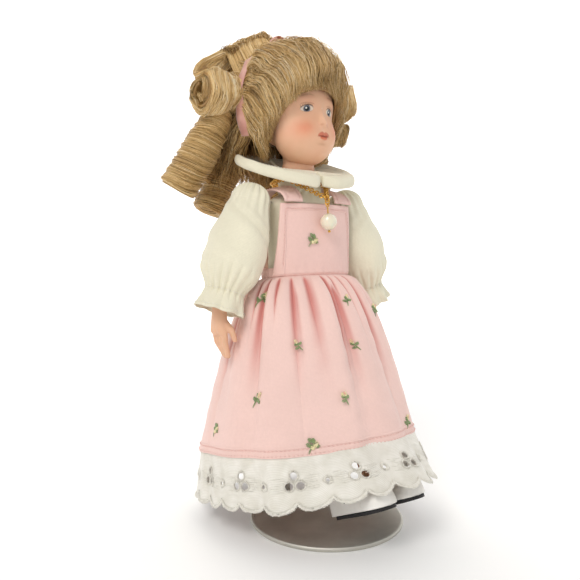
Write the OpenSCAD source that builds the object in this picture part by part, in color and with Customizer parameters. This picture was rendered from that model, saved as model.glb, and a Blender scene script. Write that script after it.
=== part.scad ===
// Porcelain doll on a round stand, in millimetres.
// The origin is the centre of the stand's underside, +Z is up and the doll faces -Y.
// "Right" and "left" are the doll's own: its right side is at -X.

/* [Stand] */
// Diameter of the round steel base
base_d = 64; // [56:1:80]
// Thickness of the base plate
base_t = 1.8; // [1.2:0.1:2.4]
// Distance of the post behind the centre of the base
post_back = 28; // [27.5:0.1:28]
// Top of the post tube above the table
post_h = 66; // [55:1:74]
// Radius of the sliding rod
rod_r = 1.5; // [1.3:0.1:1.6]

/* [Stance] */
// Height of the waist seam above the table
waist_z = 104; // [103:0.5:106]
// Distance of the waist behind the centre of the base
waist_back = 14; // [13:0.5:15]
// Backward lean of the body, in degrees
body_lean = 6; // [4:0.5:8]
// Forward swing of the legs, in degrees
leg_swing = 24; // [22:0.5:26]
// Outward splay of the arms, in degrees
arm_splay = 19; // [18:0.5:22]
// Backward tilt of the head on the neck, in degrees
head_tilt = 5; // [2:0.5:7]
// Turn of the head to the doll's left, in degrees
head_turn = 4; // [0:0.5:8]

/* [Figure] */
// Half width of the cloth body
body_a = 15.5; // [15:0.1:16]
// Half depth of the cloth body
body_b = 9.5; // [9:0.1:10]
// Height of the shoulder joints above the waist
shoulder_up = 30; // [29:0.5:31]
// Distance of each shoulder joint from the middle
shoulder_out = 27.5; // [27.3:0.1:28]
// Height of the middle of the head above the waist
head_up = 70.5; // [70:0.5:72]
// Distance of each hip from the middle
hip_out = 8; // [7.8:0.1:8.3]
// Length of a leg from the hip to the sole
leg_len = 87.5; // [86:0.5:88]
// Length of a shoe
shoe_l = 29.5; // [27:0.5:30]
// Width of a shoe
shoe_w = 14; // [12:0.5:14.5]

/* [Clothes] */
// Half width of the waistband
waist_a = 21.5; // [21:0.1:21.8]
// Half depth of the waistband
waist_b = 13.4; // [13.2:0.1:14]
// Radius of the skirt at its hem
hem_r = 45; // [43:0.5:47]
// Width of the eyelet trim
trim_w = 21; // [19:0.5:21.5]
// Height of the bib above the waist
bib_h = 28.5; // [27:0.5:29]
// Half width of the collar
collar_a = 25; // [24:0.2:25.6]

/* [Necklace] */
// Diameter of the pearl bead
pearl_d = 7.2; // [6:0.2:8]
// Outer radius of a chain link
link_r = 1.2; // [1.1:0.05:1.3]

/* [Hidden] */

RIGHT = -1;
LEFT = 1;
fine = 48;          // facets of a round shape
smooth = 120;       // facets of a thin curved wall
gap = 0.3;          // between pieces that only lie beside each other
run = 0.05;         // radial running clearance of a pin in its hole
fit = 0.02;         // clearance of a wire that is held tight
cloth = 0.7;        // thickness of a layer of cloth
wire_r = 0.8;       // armature and clip wire
tube_r = rod_r + 0.75;
rod_low = 22;       // lower end of the rod, inside the tube
clip_z = 90;        // height of the clip's wire
ferrule_h = 8;
ferrule_low = clip_z - ferrule_h / 2 - 1;
bead_top = ferrule_low - 0.1;       // bead on the rod that carries the clip
bodice_a = 17.3;    // outside of the blouse at the shoulders
bodice_b = 11.4;
dome_z = 27;        // height above the waist where the shoulders start to round over
neck_z = 46;        // centre of the ball that the head turns on
neck_r = 7.2;
hip_up = -14;
hip_r = 6.2;        // radius of the top of a thigh
bolt_r = 1.1;
wrist_s = 47;       // shoulder to wrist along the arm
cap_r = 8.2;        // radius of the sleeve's top
bib_y = 12.2;       // middle of the bib's top in front of the body's axis
pendant_z = 30;     // lowest chain link above the waist
pendant_y = -bib_y - pearl_d / 2 - 1.7;

skin = "#d9ab85";
hair = "#b8945a";
cream = "#efe9cf";
pink = "#efc0b4";
white = "#f2efe6";
gold = "#d9a43a";
steel = "#a8a49a";

// ---------------------------------------------------------------- frames

// The body's frame: its origin is the middle of the waist and it leans back.
module on_body() {
    translate([0, waist_back, waist_z]) rotate([-body_lean, 0, 0]) children();
}

// The head's frame: its origin is the middle of the head.
module on_head() {
    on_body() translate([0, 0, head_up]) rotate([-head_tilt, 0, 0]) rotate([0, 0, head_turn]) children();
}

// An arm's frame: its origin is the shoulder, with -Z down the arm.
module on_arm(side) {
    on_body() translate([side * shoulder_out, 0, shoulder_up])
        rotate([body_lean, 0, 0]) rotate([0, -side * arm_splay, 0]) children();
}

// A leg's frame: its origin is the hip, with -Z down the leg.
module on_leg(side) {
    on_body() translate([side * hip_out, 0, hip_up]) rotate([body_lean - leg_swing, 0, 0]) children();
}

// Mirrors a piece made for the left side when it is on the right.
module to_side(side) {
    mirror([side < 0 ? 1 : 0, 0, 0]) children();
}

// ---------------------------------------------------------------- shapes

function power(v, p) = sign(v) * pow(abs(v), p);

// A closed oval of n points at height z. p below 1 squares its corners.
function oval(a, b, z, n, x = 0, y = 0, p = 1) =
    [for (i = [0 : n - 1]) let (t = 360 * i / n) [x + a * power(cos(t), p), y + b * power(sin(t), p), z]];

// Faces of a wall between rings of n points; out is true where the outside is away from the rings' axis.
function wall_faces(rings, n, first, out) =
    [for (j = [0 : rings - 2], i = [0 : n - 1])
        let (k = (i + 1) % n, a = first + j * n, b = a + n)
        out ? [a + i, b + i, b + k, a + k] : [a + i, a + k, b + k, b + i]];

function flat(lists) = [for (l = lists, v = l) v];
function triangles(quads) = [for (q = quads, f = [[q[0], q[1], q[2]], [q[0], q[2], q[3]]]) f];

// A closed solid through a stack of rings, lowest first.
module loft(rings) {
    n = len(rings[0]);
    m = len(rings);
    polyhedron(
        flat(rings),
        concat(
            triangles(wall_faces(m, n, 0, true)),
            [[for (i = [0 : n - 1]) i]],
            [[for (i = [0 : n - 1]) m * n - 1 - i]]));
}

// A wall that is open at both ends, between outer rings and inner rings, lowest first.
module loft_wall(outer, inner) {
    n = len(outer[0]);
    m = len(outer);
    top = (m - 1) * n;
    inside = m * n;
    polyhedron(
        concat(flat(outer), flat(inner)),
        triangles(concat(
            wall_faces(m, n, 0, true),
            wall_faces(m, n, inside, false),
            [for (i = [0 : n - 1]) let (k = (i + 1) % n) [i, k, inside + k, inside + i]],
            [for (i = [0 : n - 1]) let (k = (i + 1) % n)
                [top + i, inside + top + i, inside + top + k, top + k]])));
}

// A sheet with a thickness, from two grids of the same size: outside and inside.
module sheet(outer, inner) {
    rows = len(outer);
    n = len(outer[0]);
    back = rows * n;
    edge = concat(
        [for (i = [0 : n - 1]) i],
        [for (j = [1 : rows - 1]) j * n + n - 1],
        [for (i = [n - 2 : -1 : 0]) (rows - 1) * n + i],
        [for (j = [rows - 2 : -1 : 1]) j * n]);
    m = len(edge);
    polyhedron(
        concat(flat(outer), flat(inner)),
        triangles(concat(
            [for (j = [0 : rows - 2], i = [0 : n - 2]) let (a = j * n + i)
                [a, a + n, a + n + 1, a + 1]],
            [for (j = [0 : rows - 2], i = [0 : n - 2]) let (a = back + j * n + i)
                [a, a + 1, a + n + 1, a + n]],
            [for (i = [0 : m - 1]) let (k = (i + 1) % m)
                [edge[i], edge[k], back + edge[k], back + edge[i]]])));
}

// An ellipsoid
module egg(a, b, c) {
    scale([a, b, c]) sphere(1, $fn = smooth);
}

// An upright oval cylinder with a rounded top of height c
module bust(a, b, low, c) {
    scale([a, b, 1]) translate([0, 0, low]) cylinder(r = 1, h = dome_z - low, $fn = fine);
    translate([0, 0, dome_z]) intersection() {
        egg(a, b, c);
        translate([-a - 1, -b - 1, -0.01]) cube([2 * a + 2, 2 * b + 2, c + 1]);
    }
}

// A rod of round section between two points
module bar(p, q, r1, r2) {
    d = q - p;
    l = norm(d);
    translate(p) rotate([0, acos(d[2] / l), atan2(d[1], d[0])]) cylinder(r1 = r1, r2 = r2, h = l, $fn = fine);
}

// Two balls and everything between them, for small soft shapes
module pill(p, q, r1, r2, n = 14) {
    hull() {
        translate(p) sphere(r1, $fn = n);
        translate(q) sphere(r2, $fn = n);
    }
}

// ---------------------------------------------------------------- stand

module stand_base() {
    color(steel) difference() {
        rotate_extrude($fn = 96) polygon([
            [0, 0], [base_d / 2 - 0.4, 0], [base_d / 2, 0.5], [base_d / 2, base_t - 0.7],
            [base_d / 2 - 0.3, base_t - 0.2], [base_d / 2 - 0.9, base_t], [0, base_t]]);
        translate([0, post_back, -1]) cylinder(r = rod_r + 0.1, h = 9, $fn = fine);
        translate([0, post_back, -1]) cylinder(r = tube_r + 0.6, h = 1.7, $fn = fine);
    }
}

// Flanged rivet that holds the tube from underneath
module post_rivet() {
    color(steel) translate([0, post_back, 0]) {
        translate([0, 0, 0.1]) cylinder(r = tube_r + 0.4, h = 0.55, $fn = fine);
        translate([0, 0, 0.1]) cylinder(r = rod_r, h = 7, $fn = fine);
    }
}

module post_tube() {
    color(steel) translate([0, post_back, base_t]) difference() {
        union() {
            cylinder(r = tube_r, h = post_h - base_t, $fn = fine);
            translate([0, 0, post_h - base_t - 4]) cylinder(r = tube_r + 0.35, h = 3, $fn = fine);
            cylinder(r1 = tube_r + 0.8, r2 = tube_r, h = 1.2, $fn = fine);
        }
        translate([0, 0, -1]) cylinder(r = rod_r + run, h = post_h + 2, $fn = fine);
    }
}

// Sliding rod with the bead that the clip rests on
module post_rod() {
    color(steel) translate([0, post_back, 0]) {
        translate([0, 0, rod_low]) cylinder(r = rod_r, h = clip_z + ferrule_h / 2 + 1 - rod_low, $fn = fine);
        translate([0, 0, bead_top - 1.4]) cylinder(r = tube_r, h = 1.4, $fn = fine);
    }
}

// ---------------------------------------------------------------- clip

arm_bend = 8;       // radius of the clip's two bends
arm_x = 18;         // half width of the clip
tab = 3.45;         // wire in front of the rod
clip_y = post_back - tab;
arm_tip = clip_y - 19;

module waist_clip() {
    color(steel) translate([0, 0, clip_z]) {
        bar([-arm_x + arm_bend, clip_y, 0], [arm_x - arm_bend, clip_y, 0], wire_r, wire_r);
        for (side = [RIGHT, LEFT]) to_side(side) {
            translate([arm_x - arm_bend, clip_y - arm_bend, 0])
                rotate_extrude(angle = 90, $fn = fine) translate([arm_bend, 0]) circle(wire_r, $fn = 20);
            bar([arm_x, clip_y - arm_bend, 0], [arm_x, arm_tip, 0], wire_r, wire_r);
        }
    }
}

// Crimped ferrule that joins the wire to the rod and turns on it
module clip_ferrule() {
    color(steel) translate([0, post_back, clip_z]) difference() {
        union() {
            translate([0, 0, ferrule_low - clip_z]) cylinder(r = tube_r + 0.1, h = ferrule_h, $fn = fine);
            translate([-3, -tab - wire_r - 0.35, -2]) cube([6, tab - 0.8, 4]);
        }
        translate([0, 0, -10]) cylinder(r = rod_r + run, h = 20, $fn = fine);
        translate([-10, -tab, 0]) rotate([0, 90, 0]) cylinder(r = wire_r + fit, h = 20, $fn = fine);
    }
}

// Soft vinyl tubes on the ends of the wire
module clip_sleeves() {
    color(white) for (side = [RIGHT, LEFT]) translate([side * arm_x, 0, clip_z]) difference() {
        union() {
            bar([0, arm_tip - 1, 0], [0, arm_tip + 9, 0], wire_r + 0.5, wire_r + 0.5);
            translate([0, arm_tip - 1, 0]) sphere(wire_r + 0.5, $fn = 24);
        }
        bar([0, arm_tip, 0], [0, arm_tip + 12, 0], wire_r, wire_r);
    }
}

// ---------------------------------------------------------------- cloth body

module torso() {
    color(white) on_body() difference() {
        union() {
            bust(body_a, body_b, hip_up, 5.2);
            translate([-1.4, -3, hip_up - 2]) cube([2.8, 6, 4]);
        }
        for (side = [RIGHT, LEFT]) to_side(side)
            translate([1.5, 0, hip_up]) rotate([0, 90, 0]) cylinder(r = hip_r + 0.4, h = 20, $fn = fine);
        along_x(hip_up, wire_r + fit);
        along_x(shoulder_up, wire_r + fit);
    }
}

// A hole or a wire across the body at height z
module along_x(z, r, half = 30) {
    translate([-half, 0, z]) rotate([0, 90, 0]) cylinder(r = r, h = 2 * half, $fn = fine);
}

// Porcelain breastplate with the seat of the neck
module shoulder_plate() {
    color(skin) on_body() difference() {
        union() {
            bust(body_a + 0.9, body_b + 1, 20, 9.2);
            translate([0, 0, 33]) cylinder(r = 8.2, h = 9, $fn = fine);
        }
        bust(body_a + 0.15, body_b + 0.15, 10, 7.9);
        translate([0, 0, neck_z]) sphere(neck_r + 0.15, $fn = fine);
        translate([0, 0, 30]) cylinder(r = bolt_r + 0.5, h = 12, $fn = fine);
        translate([0, 0, 33]) cylinder(r = 3.9, h = 3.6, $fn = fine);
        along_x(shoulder_up, wire_r + fit);
    }
}

module arm_wire() {
    color(steel) on_body() along_x(shoulder_up, wire_r, shoulder_out + 4);
}

module hip_wire() {
    color(steel) on_body() along_x(hip_up, wire_r, hip_out + 5);
}

// The seat of the bloomers, from the waist to the tops of the legs
module bloomers_seat() {
    color(white) on_body() translate([0, 0, hip_up - 2]) difference() {
        scale([body_a + 0.9, body_b + 0.9, 1]) cylinder(r = 1, h = 14.5, $fn = fine);
        translate([0, 0, -1]) scale([body_a + 0.25, body_b + 0.25, 1]) cylinder(r = 1, h = 17, $fn = fine);
    }
}

// ---------------------------------------------------------------- head

nut_z = 33.1;

module neck_bolt() {
    color(steel) on_body() {
        translate([0, 0, nut_z]) cylinder(r = bolt_r, h = 10.5, $fn = fine);
        translate([0, 0, 43.05]) cylinder(r = 2.6, h = 1.2, $fn = fine);
    }
}

// Three turns of spring wire between the plate and the nut
module neck_spring() {
    color(steel) on_body() for (i = [0 : 2]) translate([0, 0, nut_z + 1.2 + 0.75 * i])
        rotate_extrude($fn = fine) translate([2.6, 0]) circle(0.3, $fn = 16);
}

module neck_nut() {
    color(steel) on_body() translate([0, 0, nut_z]) difference() {
        cylinder(r = 2.9, h = 0.8, $fn = 6);
        translate([0, 0, -1]) cylinder(r = bolt_r + fit, h = 3, $fn = fine);
    }
}

// The hollow porcelain head: skull, cheeks, chin, nose and the ball of the neck
module head() {
    color(skin) difference() {
        union() {
            on_head() {
                skull(0);
                translate([0, -4.5, -11]) egg(15.2, 12.6, 14);
                translate([0, -16.6, -8]) egg(1.8, 2, 2.4);
            }
            on_body() translate([0, 0, neck_z]) {
                sphere(neck_r, $fn = fine);
                cylinder(r = 6.6, h = 12, $fn = fine);
            }
        }
        on_head() {
            skull(-1.8);
            translate([-25, -12, 16]) rotate([12, 0, 0]) cube([50, 50, 20]);
        }
        on_body() {
            translate([0, 0, neck_z - 3]) cylinder(r = 4.4, h = 16, $fn = fine);
            translate([0, 0, neck_z - 10]) cylinder(r = bolt_r + run, h = 16, $fn = fine);
        }
    }
}

// Card cap that closes the crown of the head
module crown_pate() {
    color("#c9b48a") on_head() intersection() {
        difference() {
            skull(0);
            skull(-1.1);
        }
        translate([-25, -12, 16.3]) rotate([12, 0, 0]) cube([50, 50, 20]);
    }
}

// The half space behind the parting line of the headband
module behind_band(shift) {
    rotate([band_tilt, 0, 0]) translate([-60, band_y + shift, -60]) cube([120, 120, 120]);
}

skull_r = 18.9;
band_tilt = 14;     // lean of the headband's plane on the head
band_y = 7;         // and its distance behind the middle
band_w = 6;
band_r = 24.6;      // outside of the ribbon
hair_t = 4.6;       // depth of the hair on the head

module skull(grow) {
    translate([0, 1, 3.8]) sphere(skull_r + grow, $fn = smooth);
}

dome_r = 24.2;      // outside of the brushed-up hair on the crown

// A ball over the crown with its poles at the ears
module hair_dome(grow) {
    translate([0, 2, 8]) rotate([0, 90, 0]) sphere(dome_r + grow, $fn = smooth);
}

// The dressed hair in front: close at the ears and raised on the crown
module hair_volume(grow) {
    skull(hair_t + grow);
    hair_dome(grow);
}

// Opening of the hair round the face
module face_gap() {
    translate([0, -14, -8]) rotate([90, 0, 0]) cylinder(r = 14, h = 30, center = true, $fn = smooth);
    translate([-40, -40, -60]) cube([80, 34, 43]);
}

module wig_cap() {
    color("#8a6f45") on_head() difference() {
        skull(0.9);
        skull(0.2);
        translate([-40, -70, -40]) rotate([-20, 0, 0]) cube([80, 60, 70]);
        translate([-40, -40, -60]) cube([80, 80, 50]);
    }
}

// Fringe and side hair in front of the headband
module wig_bangs() {
    color(hair) on_head() difference() {
        hair_volume(0);
        skull(1.1);
        translate([0, -4.5, -11]) sphere(15.6, $fn = smooth);
        face_gap();
        behind_band(-band_w / 2);
        translate([-40, -40, -60]) cube([80, 80, 44]);
    }
}

// Hair behind the headband, down to the nape
module wig_crown() {
    color(hair) on_head() difference() {
        hair_dome(0);
        skull(1.1);
        mirror([0, 1, 0]) rotate([-band_tilt, 0, 0]) translate([-60, -band_y - band_w / 2, -60])
            cube([120, 120, 120]);
        translate([-40, -40, -60]) cube([80, 90, 49]);
    }
}

module headband() {
    color("#e3b3a6") on_head() intersection() {
        translate([0, 1, 5.5]) difference() {
            sphere(band_r, $fn = smooth);
            sphere(band_r - 1.1, $fn = smooth);
        }
        rotate([band_tilt, 0, 0]) translate([-60, band_y - band_w / 2 + gap, -13.5])
            cube([120, band_w - 2 * gap, 80]);
    }
}

// Two flat loops, a knot and two tails on the top of the headband
module ribbon_bow() {
    color("#e3b3a6") on_head() rotate([band_tilt, 0, 0]) translate([0, band_y, 30.2]) {
        for (side = [RIGHT, LEFT]) to_side(side) {
            translate([0.6, 0, 1]) rotate([0, -24, 0]) linear_extrude(1.2)
                polygon([[0, -0.8], [7, -2.6], [8.4, -1.4], [8.4, 1.4], [7, 2.6], [0, 0.8]]);
        }
        translate([0, 0, 1.1]) rotate([90, 0, 0]) cylinder(r = 1.4, h = 2.6, center = true, $fn = 24);
    }
}

// One sausage curl: a hollow-ended barrel along its own axis, from p to q
module curl(p, q, r) {
    d = q - p;
    l = norm(d);
    edge = min(2.2, r * 0.3);
    translate(p) rotate([0, acos(d[2] / l), atan2(d[1], d[0])]) rotate_extrude($fn = 36) polygon([
        [0, 0.6], [r * 0.5, 0], [r - edge, 0], [r - 0.3 * edge, 0.3 * edge], [r, edge], [r * 1.04, l / 2],
        [r, l - edge], [r - 0.3 * edge, l - 0.3 * edge], [r - edge, l], [r * 0.45, l], [r * 0.4, l - 3.5],
        [0, l - 4]]);
}

// Rolled curls and ringlets: start and end of each one's middle line, and its radius
RIGHT_CURLS = [
    [[-24.6, 13, 9], [-41, 12.5, 8.5], 10.2],
    [[-29.5, 17.5, -7], [-43, 34.5, -28], 7.6],
    [[-21, 30, 0], [-29.5, 40, -18], 6.2]
];
LEFT_CURLS = [
    [[26, 7.6, 14], [41, 5, 13], 9.4],
    [[29.5, 19, -6], [41, 35, -28], 7.4],
    [[27.4, 7, -1.8], [35.5, 2, -4], 5.4]
];
BACK_CURLS = [
    [[-9, 37, -10], [-20, 44, -34], 7.4],
    [[9, 37, -10], [18, 43, -33], 7.2],
    [[0, 36.5, 8], [0, 50, 1], 7.6]
];

module curls(list) {
    color(hair) on_head() for (c = list) curl(c[0], c[1], c[2]);
}
module curls_right() { curls(RIGHT_CURLS); }
module curls_left() { curls(LEFT_CURLS); }
module curls_back() { curls(BACK_CURLS); }

// The raised roll of hair behind the headband
module hair_puff() {
    color(hair) on_head() difference() {
        translate([-9, 15, 30]) rotate([-12, 0, 14]) egg(19, 12.5, 15);
        hair_volume(gap);
        rotate([band_tilt, 0, 0]) translate([-60, band_y - 60 + band_w, -60]) cube([120, 60, 120]);
    }
}

// ---------------------------------------------------------------- blouse

// Rings of the blouse's wall, from the waist to the neck, t inside its outer face
function blouse_ring(a, b, z) = oval(a, b, z, 40);
function blouse_rings(t) = concat(
    [for (p = [[-7, 0.7], [2, 0.7], [12, 0.3], [20, 0]])
        blouse_ring(bodice_a + p[1] - t, bodice_b + p[1] / 2 - t, p[0])],
    [for (w = [0 : 12 : 60])
        blouse_ring((bodice_a - t) * cos(w), (bodice_b - t) * cos(w), dome_z + (10.3 - t) * sin(w))]);

module blouse_body() {
    color(cream) on_body() difference() {
        loft_wall(blouse_rings(0), blouse_rings(cloth));
        along_x(shoulder_up, wire_r + 0.3);
        cylinder(r = 8.5, h = 60, $fn = fine);
    }
}

// Height of the collar's top at turn w from the front, at v = 0 the neck and v = 1 the free edge,
// which stands up a little beside the neck
function collar_z(w, v) = let (s = (1 - cos(w)) / 2)
    (1 - v) * (43.5 + 4.5 * s) + v * (39 + 10 * s + 7 * pow(s, 2)) - 1.5 * sin(180 * v) * s
    + 3.4 * pow(v, 2) * exp(-pow((w - 112) / 43, 2));
function collar_r(w, v) = let (s = (1 - cos(w)) / 2)
    (1 - v) * 9.6 + v * (16.5 + (collar_a - 16.5) * pow(sin(w), 1.2) + 5 * pow(s, 2));
function collar_grid(drop) =
    [for (k = [0 : 16]) let (w = 5 + 170 * k / 16)
        [for (i = [0 : 5]) let (v = i / 5, r = collar_r(w, v))
            [r * sin(w), -r * cos(w), collar_z(w, v) - drop]]];

module collar(side) {
    color(cream) on_body() to_side(side) sheet(collar_grid(0), collar_grid(2.2));
}
module collar_right() { collar(RIGHT); }
module collar_left() { collar(LEFT); }

// ---------------------------------------------------------------- arms

// Outline of the sleeve: distance down the arm and radius, below its round top
SLEEVE = [[3, 9], [6, 9.9], [10, 11], [16, 12.3], [22, 12.9], [28, 12.4], [33, 11], [36.5, 9.2],
    [39, 8], [41, 8.5], [44, 9.4], [47.5, 10]];
elastic_s = SLEEVE[8][0];

function sleeve_line(t) = concat(
    [for (w = [90 : -10 : 0]) [(cap_r - t) * cos(w), (cap_r - t) * sin(w)]],
    [for (p = SLEEVE) [p[1] - t, -p[0]]]);

module sleeve(side) {
    outer = sleeve_line(0);
    inner = sleeve_line(cloth);
    color(cream) difference() {
        on_arm(side) rotate_extrude($fn = fine)
            polygon(concat(outer, [for (i = [len(inner) - 1 : -1 : 0]) inner[i]]));
        on_body() along_x(shoulder_up, wire_r + 0.3, shoulder_out);
    }
}
module sleeve_right() { sleeve(RIGHT); }
module sleeve_left() { sleeve(LEFT); }

module cuff_elastic(side) {
    color(white) on_arm(side) translate([0, 0, -elastic_s])
        rotate_extrude($fn = fine) translate([SLEEVE[8][1] - cloth - 0.5, 0]) circle(0.4, $fn = 16);
}
module cuff_elastic_right() { cuff_elastic(RIGHT); }
module cuff_elastic_left() { cuff_elastic(LEFT); }

upper_r = 5;
spigot = [24, 30];  // the porcelain arm's end inside the cloth one

module upper_arm(side) {
    color(white) difference() {
        on_arm(side) union() {
            sphere(upper_r, $fn = fine);
            translate([0, 0, -spigot[1]]) cylinder(r = upper_r, h = spigot[1], $fn = fine);
        }
        on_arm(side) translate([0, 0, -spigot[1] - 1]) cylinder(r = 3.52, h = 7.2, $fn = fine);
        on_body() along_x(shoulder_up, wire_r + run, 60);
    }
}
module upper_arm_right() { upper_arm(RIGHT); }
module upper_arm_left() { upper_arm(LEFT); }

// Binding thread that ties the cloth round the porcelain
module arm_tie(side) {
    color(white) on_arm(side) translate([0, 0, -spigot[0] - 3.4])
        rotate_extrude($fn = fine) translate([upper_r + 0.02, -0.9]) square([0.5, 1.8]);
}
module arm_tie_right() { arm_tie(RIGHT); }
module arm_tie_left() { arm_tie(LEFT); }

// Porcelain forearm and hand, made for the left side
module forearm_shape() {
    rotate_extrude($fn = fine) polygon([[0, -wrist_s - 1], [3.1, -wrist_s - 1], [3.4, -wrist_s + 1],
        [4, -40], [4.5, -33], [4.5, -spigot[1] - 0.2], [3.5, -spigot[1] - 0.2], [3.5, -spigot[0]],
        [0, -spigot[0]]]);
    translate([0, 0, -wrist_s]) rotate([0, 17, 0]) {
        hull() {
            translate([0, 0, 0]) sphere(3.1, $fn = 16);
            translate([-0.2, -2.6, -8]) sphere(2.4, $fn = 14);
            translate([-0.2, 2.8, -8]) sphere(2.2, $fn = 14);
        }
        for (f = [0 : 3]) {
            y = -3.6 + 2.35 * f;
            tip = -17.2 - 1.6 * sin(60 + 40 * f);
            pill([-0.3, y, -8.5], [-1.6, y, tip], 1.35, 1.05, 12);
        }
        pill([-1, -3, -3.5], [-3.2, -5.6, -11], 1.6, 1.15, 12);
    }
}
module forearm_right() { color(skin) on_arm(RIGHT) to_side(RIGHT) forearm_shape(); }
module forearm_left() { color(skin) on_arm(LEFT) forearm_shape(); }

// ---------------------------------------------------------------- legs

knee_s = 44;        // where the porcelain leg starts
heel_r = 5.7;       // round heel of the sole
sole_t = 1.1;

module thigh(side) {
    color(white) difference() {
        on_leg(side) union() {
            sphere(hip_r, $fn = fine);
            translate([0, 0, -knee_s]) cylinder(r1 = 5.2, r2 = hip_r, h = knee_s, $fn = fine);
        }
        on_leg(side) translate([0, 0, -knee_s - 1]) cylinder(r = 3.92, h = 8.2, $fn = fine);
        on_body() along_x(hip_up, wire_r + run);
    }
}
module thigh_right() { thigh(RIGHT); }
module thigh_left() { thigh(LEFT); }

// Rings of a foot seen from the side, from the heel to the toe; grow makes the shoe round it
// Each row is: distance forward of the leg's axis, half width, height of its top above the sole.
FOOT = [[-4.6, 2.2, 8], [-4, 3.8, 10.4], [-2, 4.6, 11.4], [2, 4.9, 11.2], [6.5, 5.1, 9.4], [11, 5.4, 7.9],
    [15.5, 5.5, 6.7], [19, 4.7, 5.9], [21.3, 2.4, 4.6]];

function foot_rings(grow, stretch) = [for (p = FOOT)
    let (y = p[0] * stretch + (p[0] < 0 ? -grow : grow) * 0.9, a = p[1] + grow, h = p[2] + grow)
    [for (i = [0 : 23]) let (t = 15 * i)
        [a * power(cos(t), 0.85), -y, (sin(t) > 0 ? h * power(sin(t), 0.9) : 0.4 * sin(t)) + 0.4]]];

module shin_shape() {
    rotate_extrude($fn = fine) polygon([[0, -leg_len + 6], [3.3, -leg_len + 6], [3.7, -leg_len + 12],
        [4.6, -62], [5, -54], [4.6, -knee_s - 0.2], [3.9, -knee_s - 0.2], [3.9, -knee_s + 7],
        [0, -knee_s + 7]]);
    translate([0, 0, -leg_len + sole_t + 0.7]) loft(foot_rings(0, 1));
}
module shin_right() { color(skin) on_leg(RIGHT) shin_shape(); }
module shin_left() { color(skin) on_leg(LEFT) shin_shape(); }

// Loose cotton leg with a gathered hem
module bloomer_leg(side) {
    color(white) on_leg(side) rotate_extrude($fn = fine) polygon([[6.55, -5], [7.2, -5], [7.4, -20],
        [7.2, -36], [6.2, -39], [7, -42], [6.3, -42], [5.6, -39], [6.5, -36], [6.7, -20]]);
}
module bloomer_leg_right() { bloomer_leg(RIGHT); }
module bloomer_leg_left() { bloomer_leg(LEFT); }

shoe_stretch = (shoe_l - 2.9) / 25.9;

module shoe(side) {
    color(white) on_leg(side) translate([0, 0, -leg_len + sole_t + 0.05]) difference() {
        loft(foot_rings(1.25, shoe_stretch));
        translate([0, 0, 0.6]) loft(foot_rings(0.3, (1 + shoe_stretch) / 2));
        translate([0, 0.6, 5]) scale([4.7, 5.2, 1]) cylinder(r = 1, h = 20, $fn = fine);
        translate([-10, -4.6, 10.2]) cube([20, 20, 10]);
    }
}
module shoe_right() { shoe(RIGHT); }
module shoe_left() { shoe(LEFT); }

module sole(side) {
    color("#1c1a1a") on_leg(side) translate([0, 0, -leg_len]) linear_extrude(sole_t) hull() {
        translate([0, -shoe_stretch * 14.5 - 0.5]) scale([1, 1.15]) circle(shoe_w / 2 - 0.1, $fn = 32);
        translate([0, 0]) circle(heel_r, $fn = 32);
    }
}
module sole_right() { sole(RIGHT); }
module sole_left() { sole(LEFT); }

// ---------------------------------------------------------------- dress

hem_z = 31.8;       // height of the hem at the sides
hem_y = 12.7;
hem_tilt = 9;       // lean of the hem, higher in front

function bib_point(u, v, out) = let (
    x = u * (21.2 - 1.7 * v),
    low = 13.5 * sqrt(1 - pow(x / 22.4, 2)),
    high = bib_y - 2.7 * u * u)
    [x, -((1 - v) * low + v * high) - out, 1.8 + v * (bib_h - 1.8)];
function bib_grid(out) = [for (j = [0 : 6]) [for (i = [0 : 20]) bib_point(i / 10 - 1, j / 6, out)]];

module bib() {
    color(pink) on_body() sheet(bib_grid(0.8), bib_grid(0));
}

// The strap's middle line: up from the bib, over the shoulder and down the back; k is 0 to 24
function strap_point(k, x, out) = let (
    rise = 8.4 - 2.2 * (x - 9) / 10,
    w = 7 + 173 * min(k, 18) / 18,
    down = max(k - 18, 0) / 6)
    [x, -(12.1 + out) * cos(w) + 0.3 * down, bib_h + 0.3 + (rise + out) * sin(w) - (bib_h - 2.2) * down
        - (k == 0 ? 0.8 : 0)];
function strap_grid(out) = [for (k = [0 : 24]) [for (i = [0 : 3]) strap_point(k, 9 + 3.35 * i, out)]];

module strap(side) {
    color(pink) on_body() to_side(side) sheet(strap_grid(0.8), strap_grid(0));
}
module strap_right() { strap(RIGHT); }
module strap_left() { strap(LEFT); }

module waistband() {
    color(pink) on_body() translate([0, 0, -1.8]) difference() {
        scale([waist_a, waist_b, 1]) cylinder(r = 1, h = 3.4, $fn = 64);
        translate([0, 0, -1]) scale([waist_a - 1.1, waist_b - 1.1, 1]) cylinder(r = 1, h = 6, $fn = 64);
    }
}

function skirt_ring(k, grow) = let (
    t = pow(k / 10, 1.8),
    z = (waist_z - 2.2) * (1 - t) + hem_z * t,
    y = waist_back * (1 - t) + hem_y * t,
    a = waist_a + (hem_r - waist_a) * pow(t, 0.55) + grow,
    b = waist_b + (hem_r - waist_b) * pow(t, 0.6) + grow,
    lean = tan(body_lean * (1 - t) + hem_tilt * t))
    [for (i = [0 : 55]) let (w = 360 * i / 56) [a * cos(w), y + b * sin(w), z - b * sin(w) * lean]];

module skirt() {
    color(pink) loft_wall(
        [for (k = [10 : -1 : 0]) skirt_ring(k, 0)],
        [for (k = [10 : -1 : 0]) skirt_ring(k, -cloth)]);
}

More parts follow.
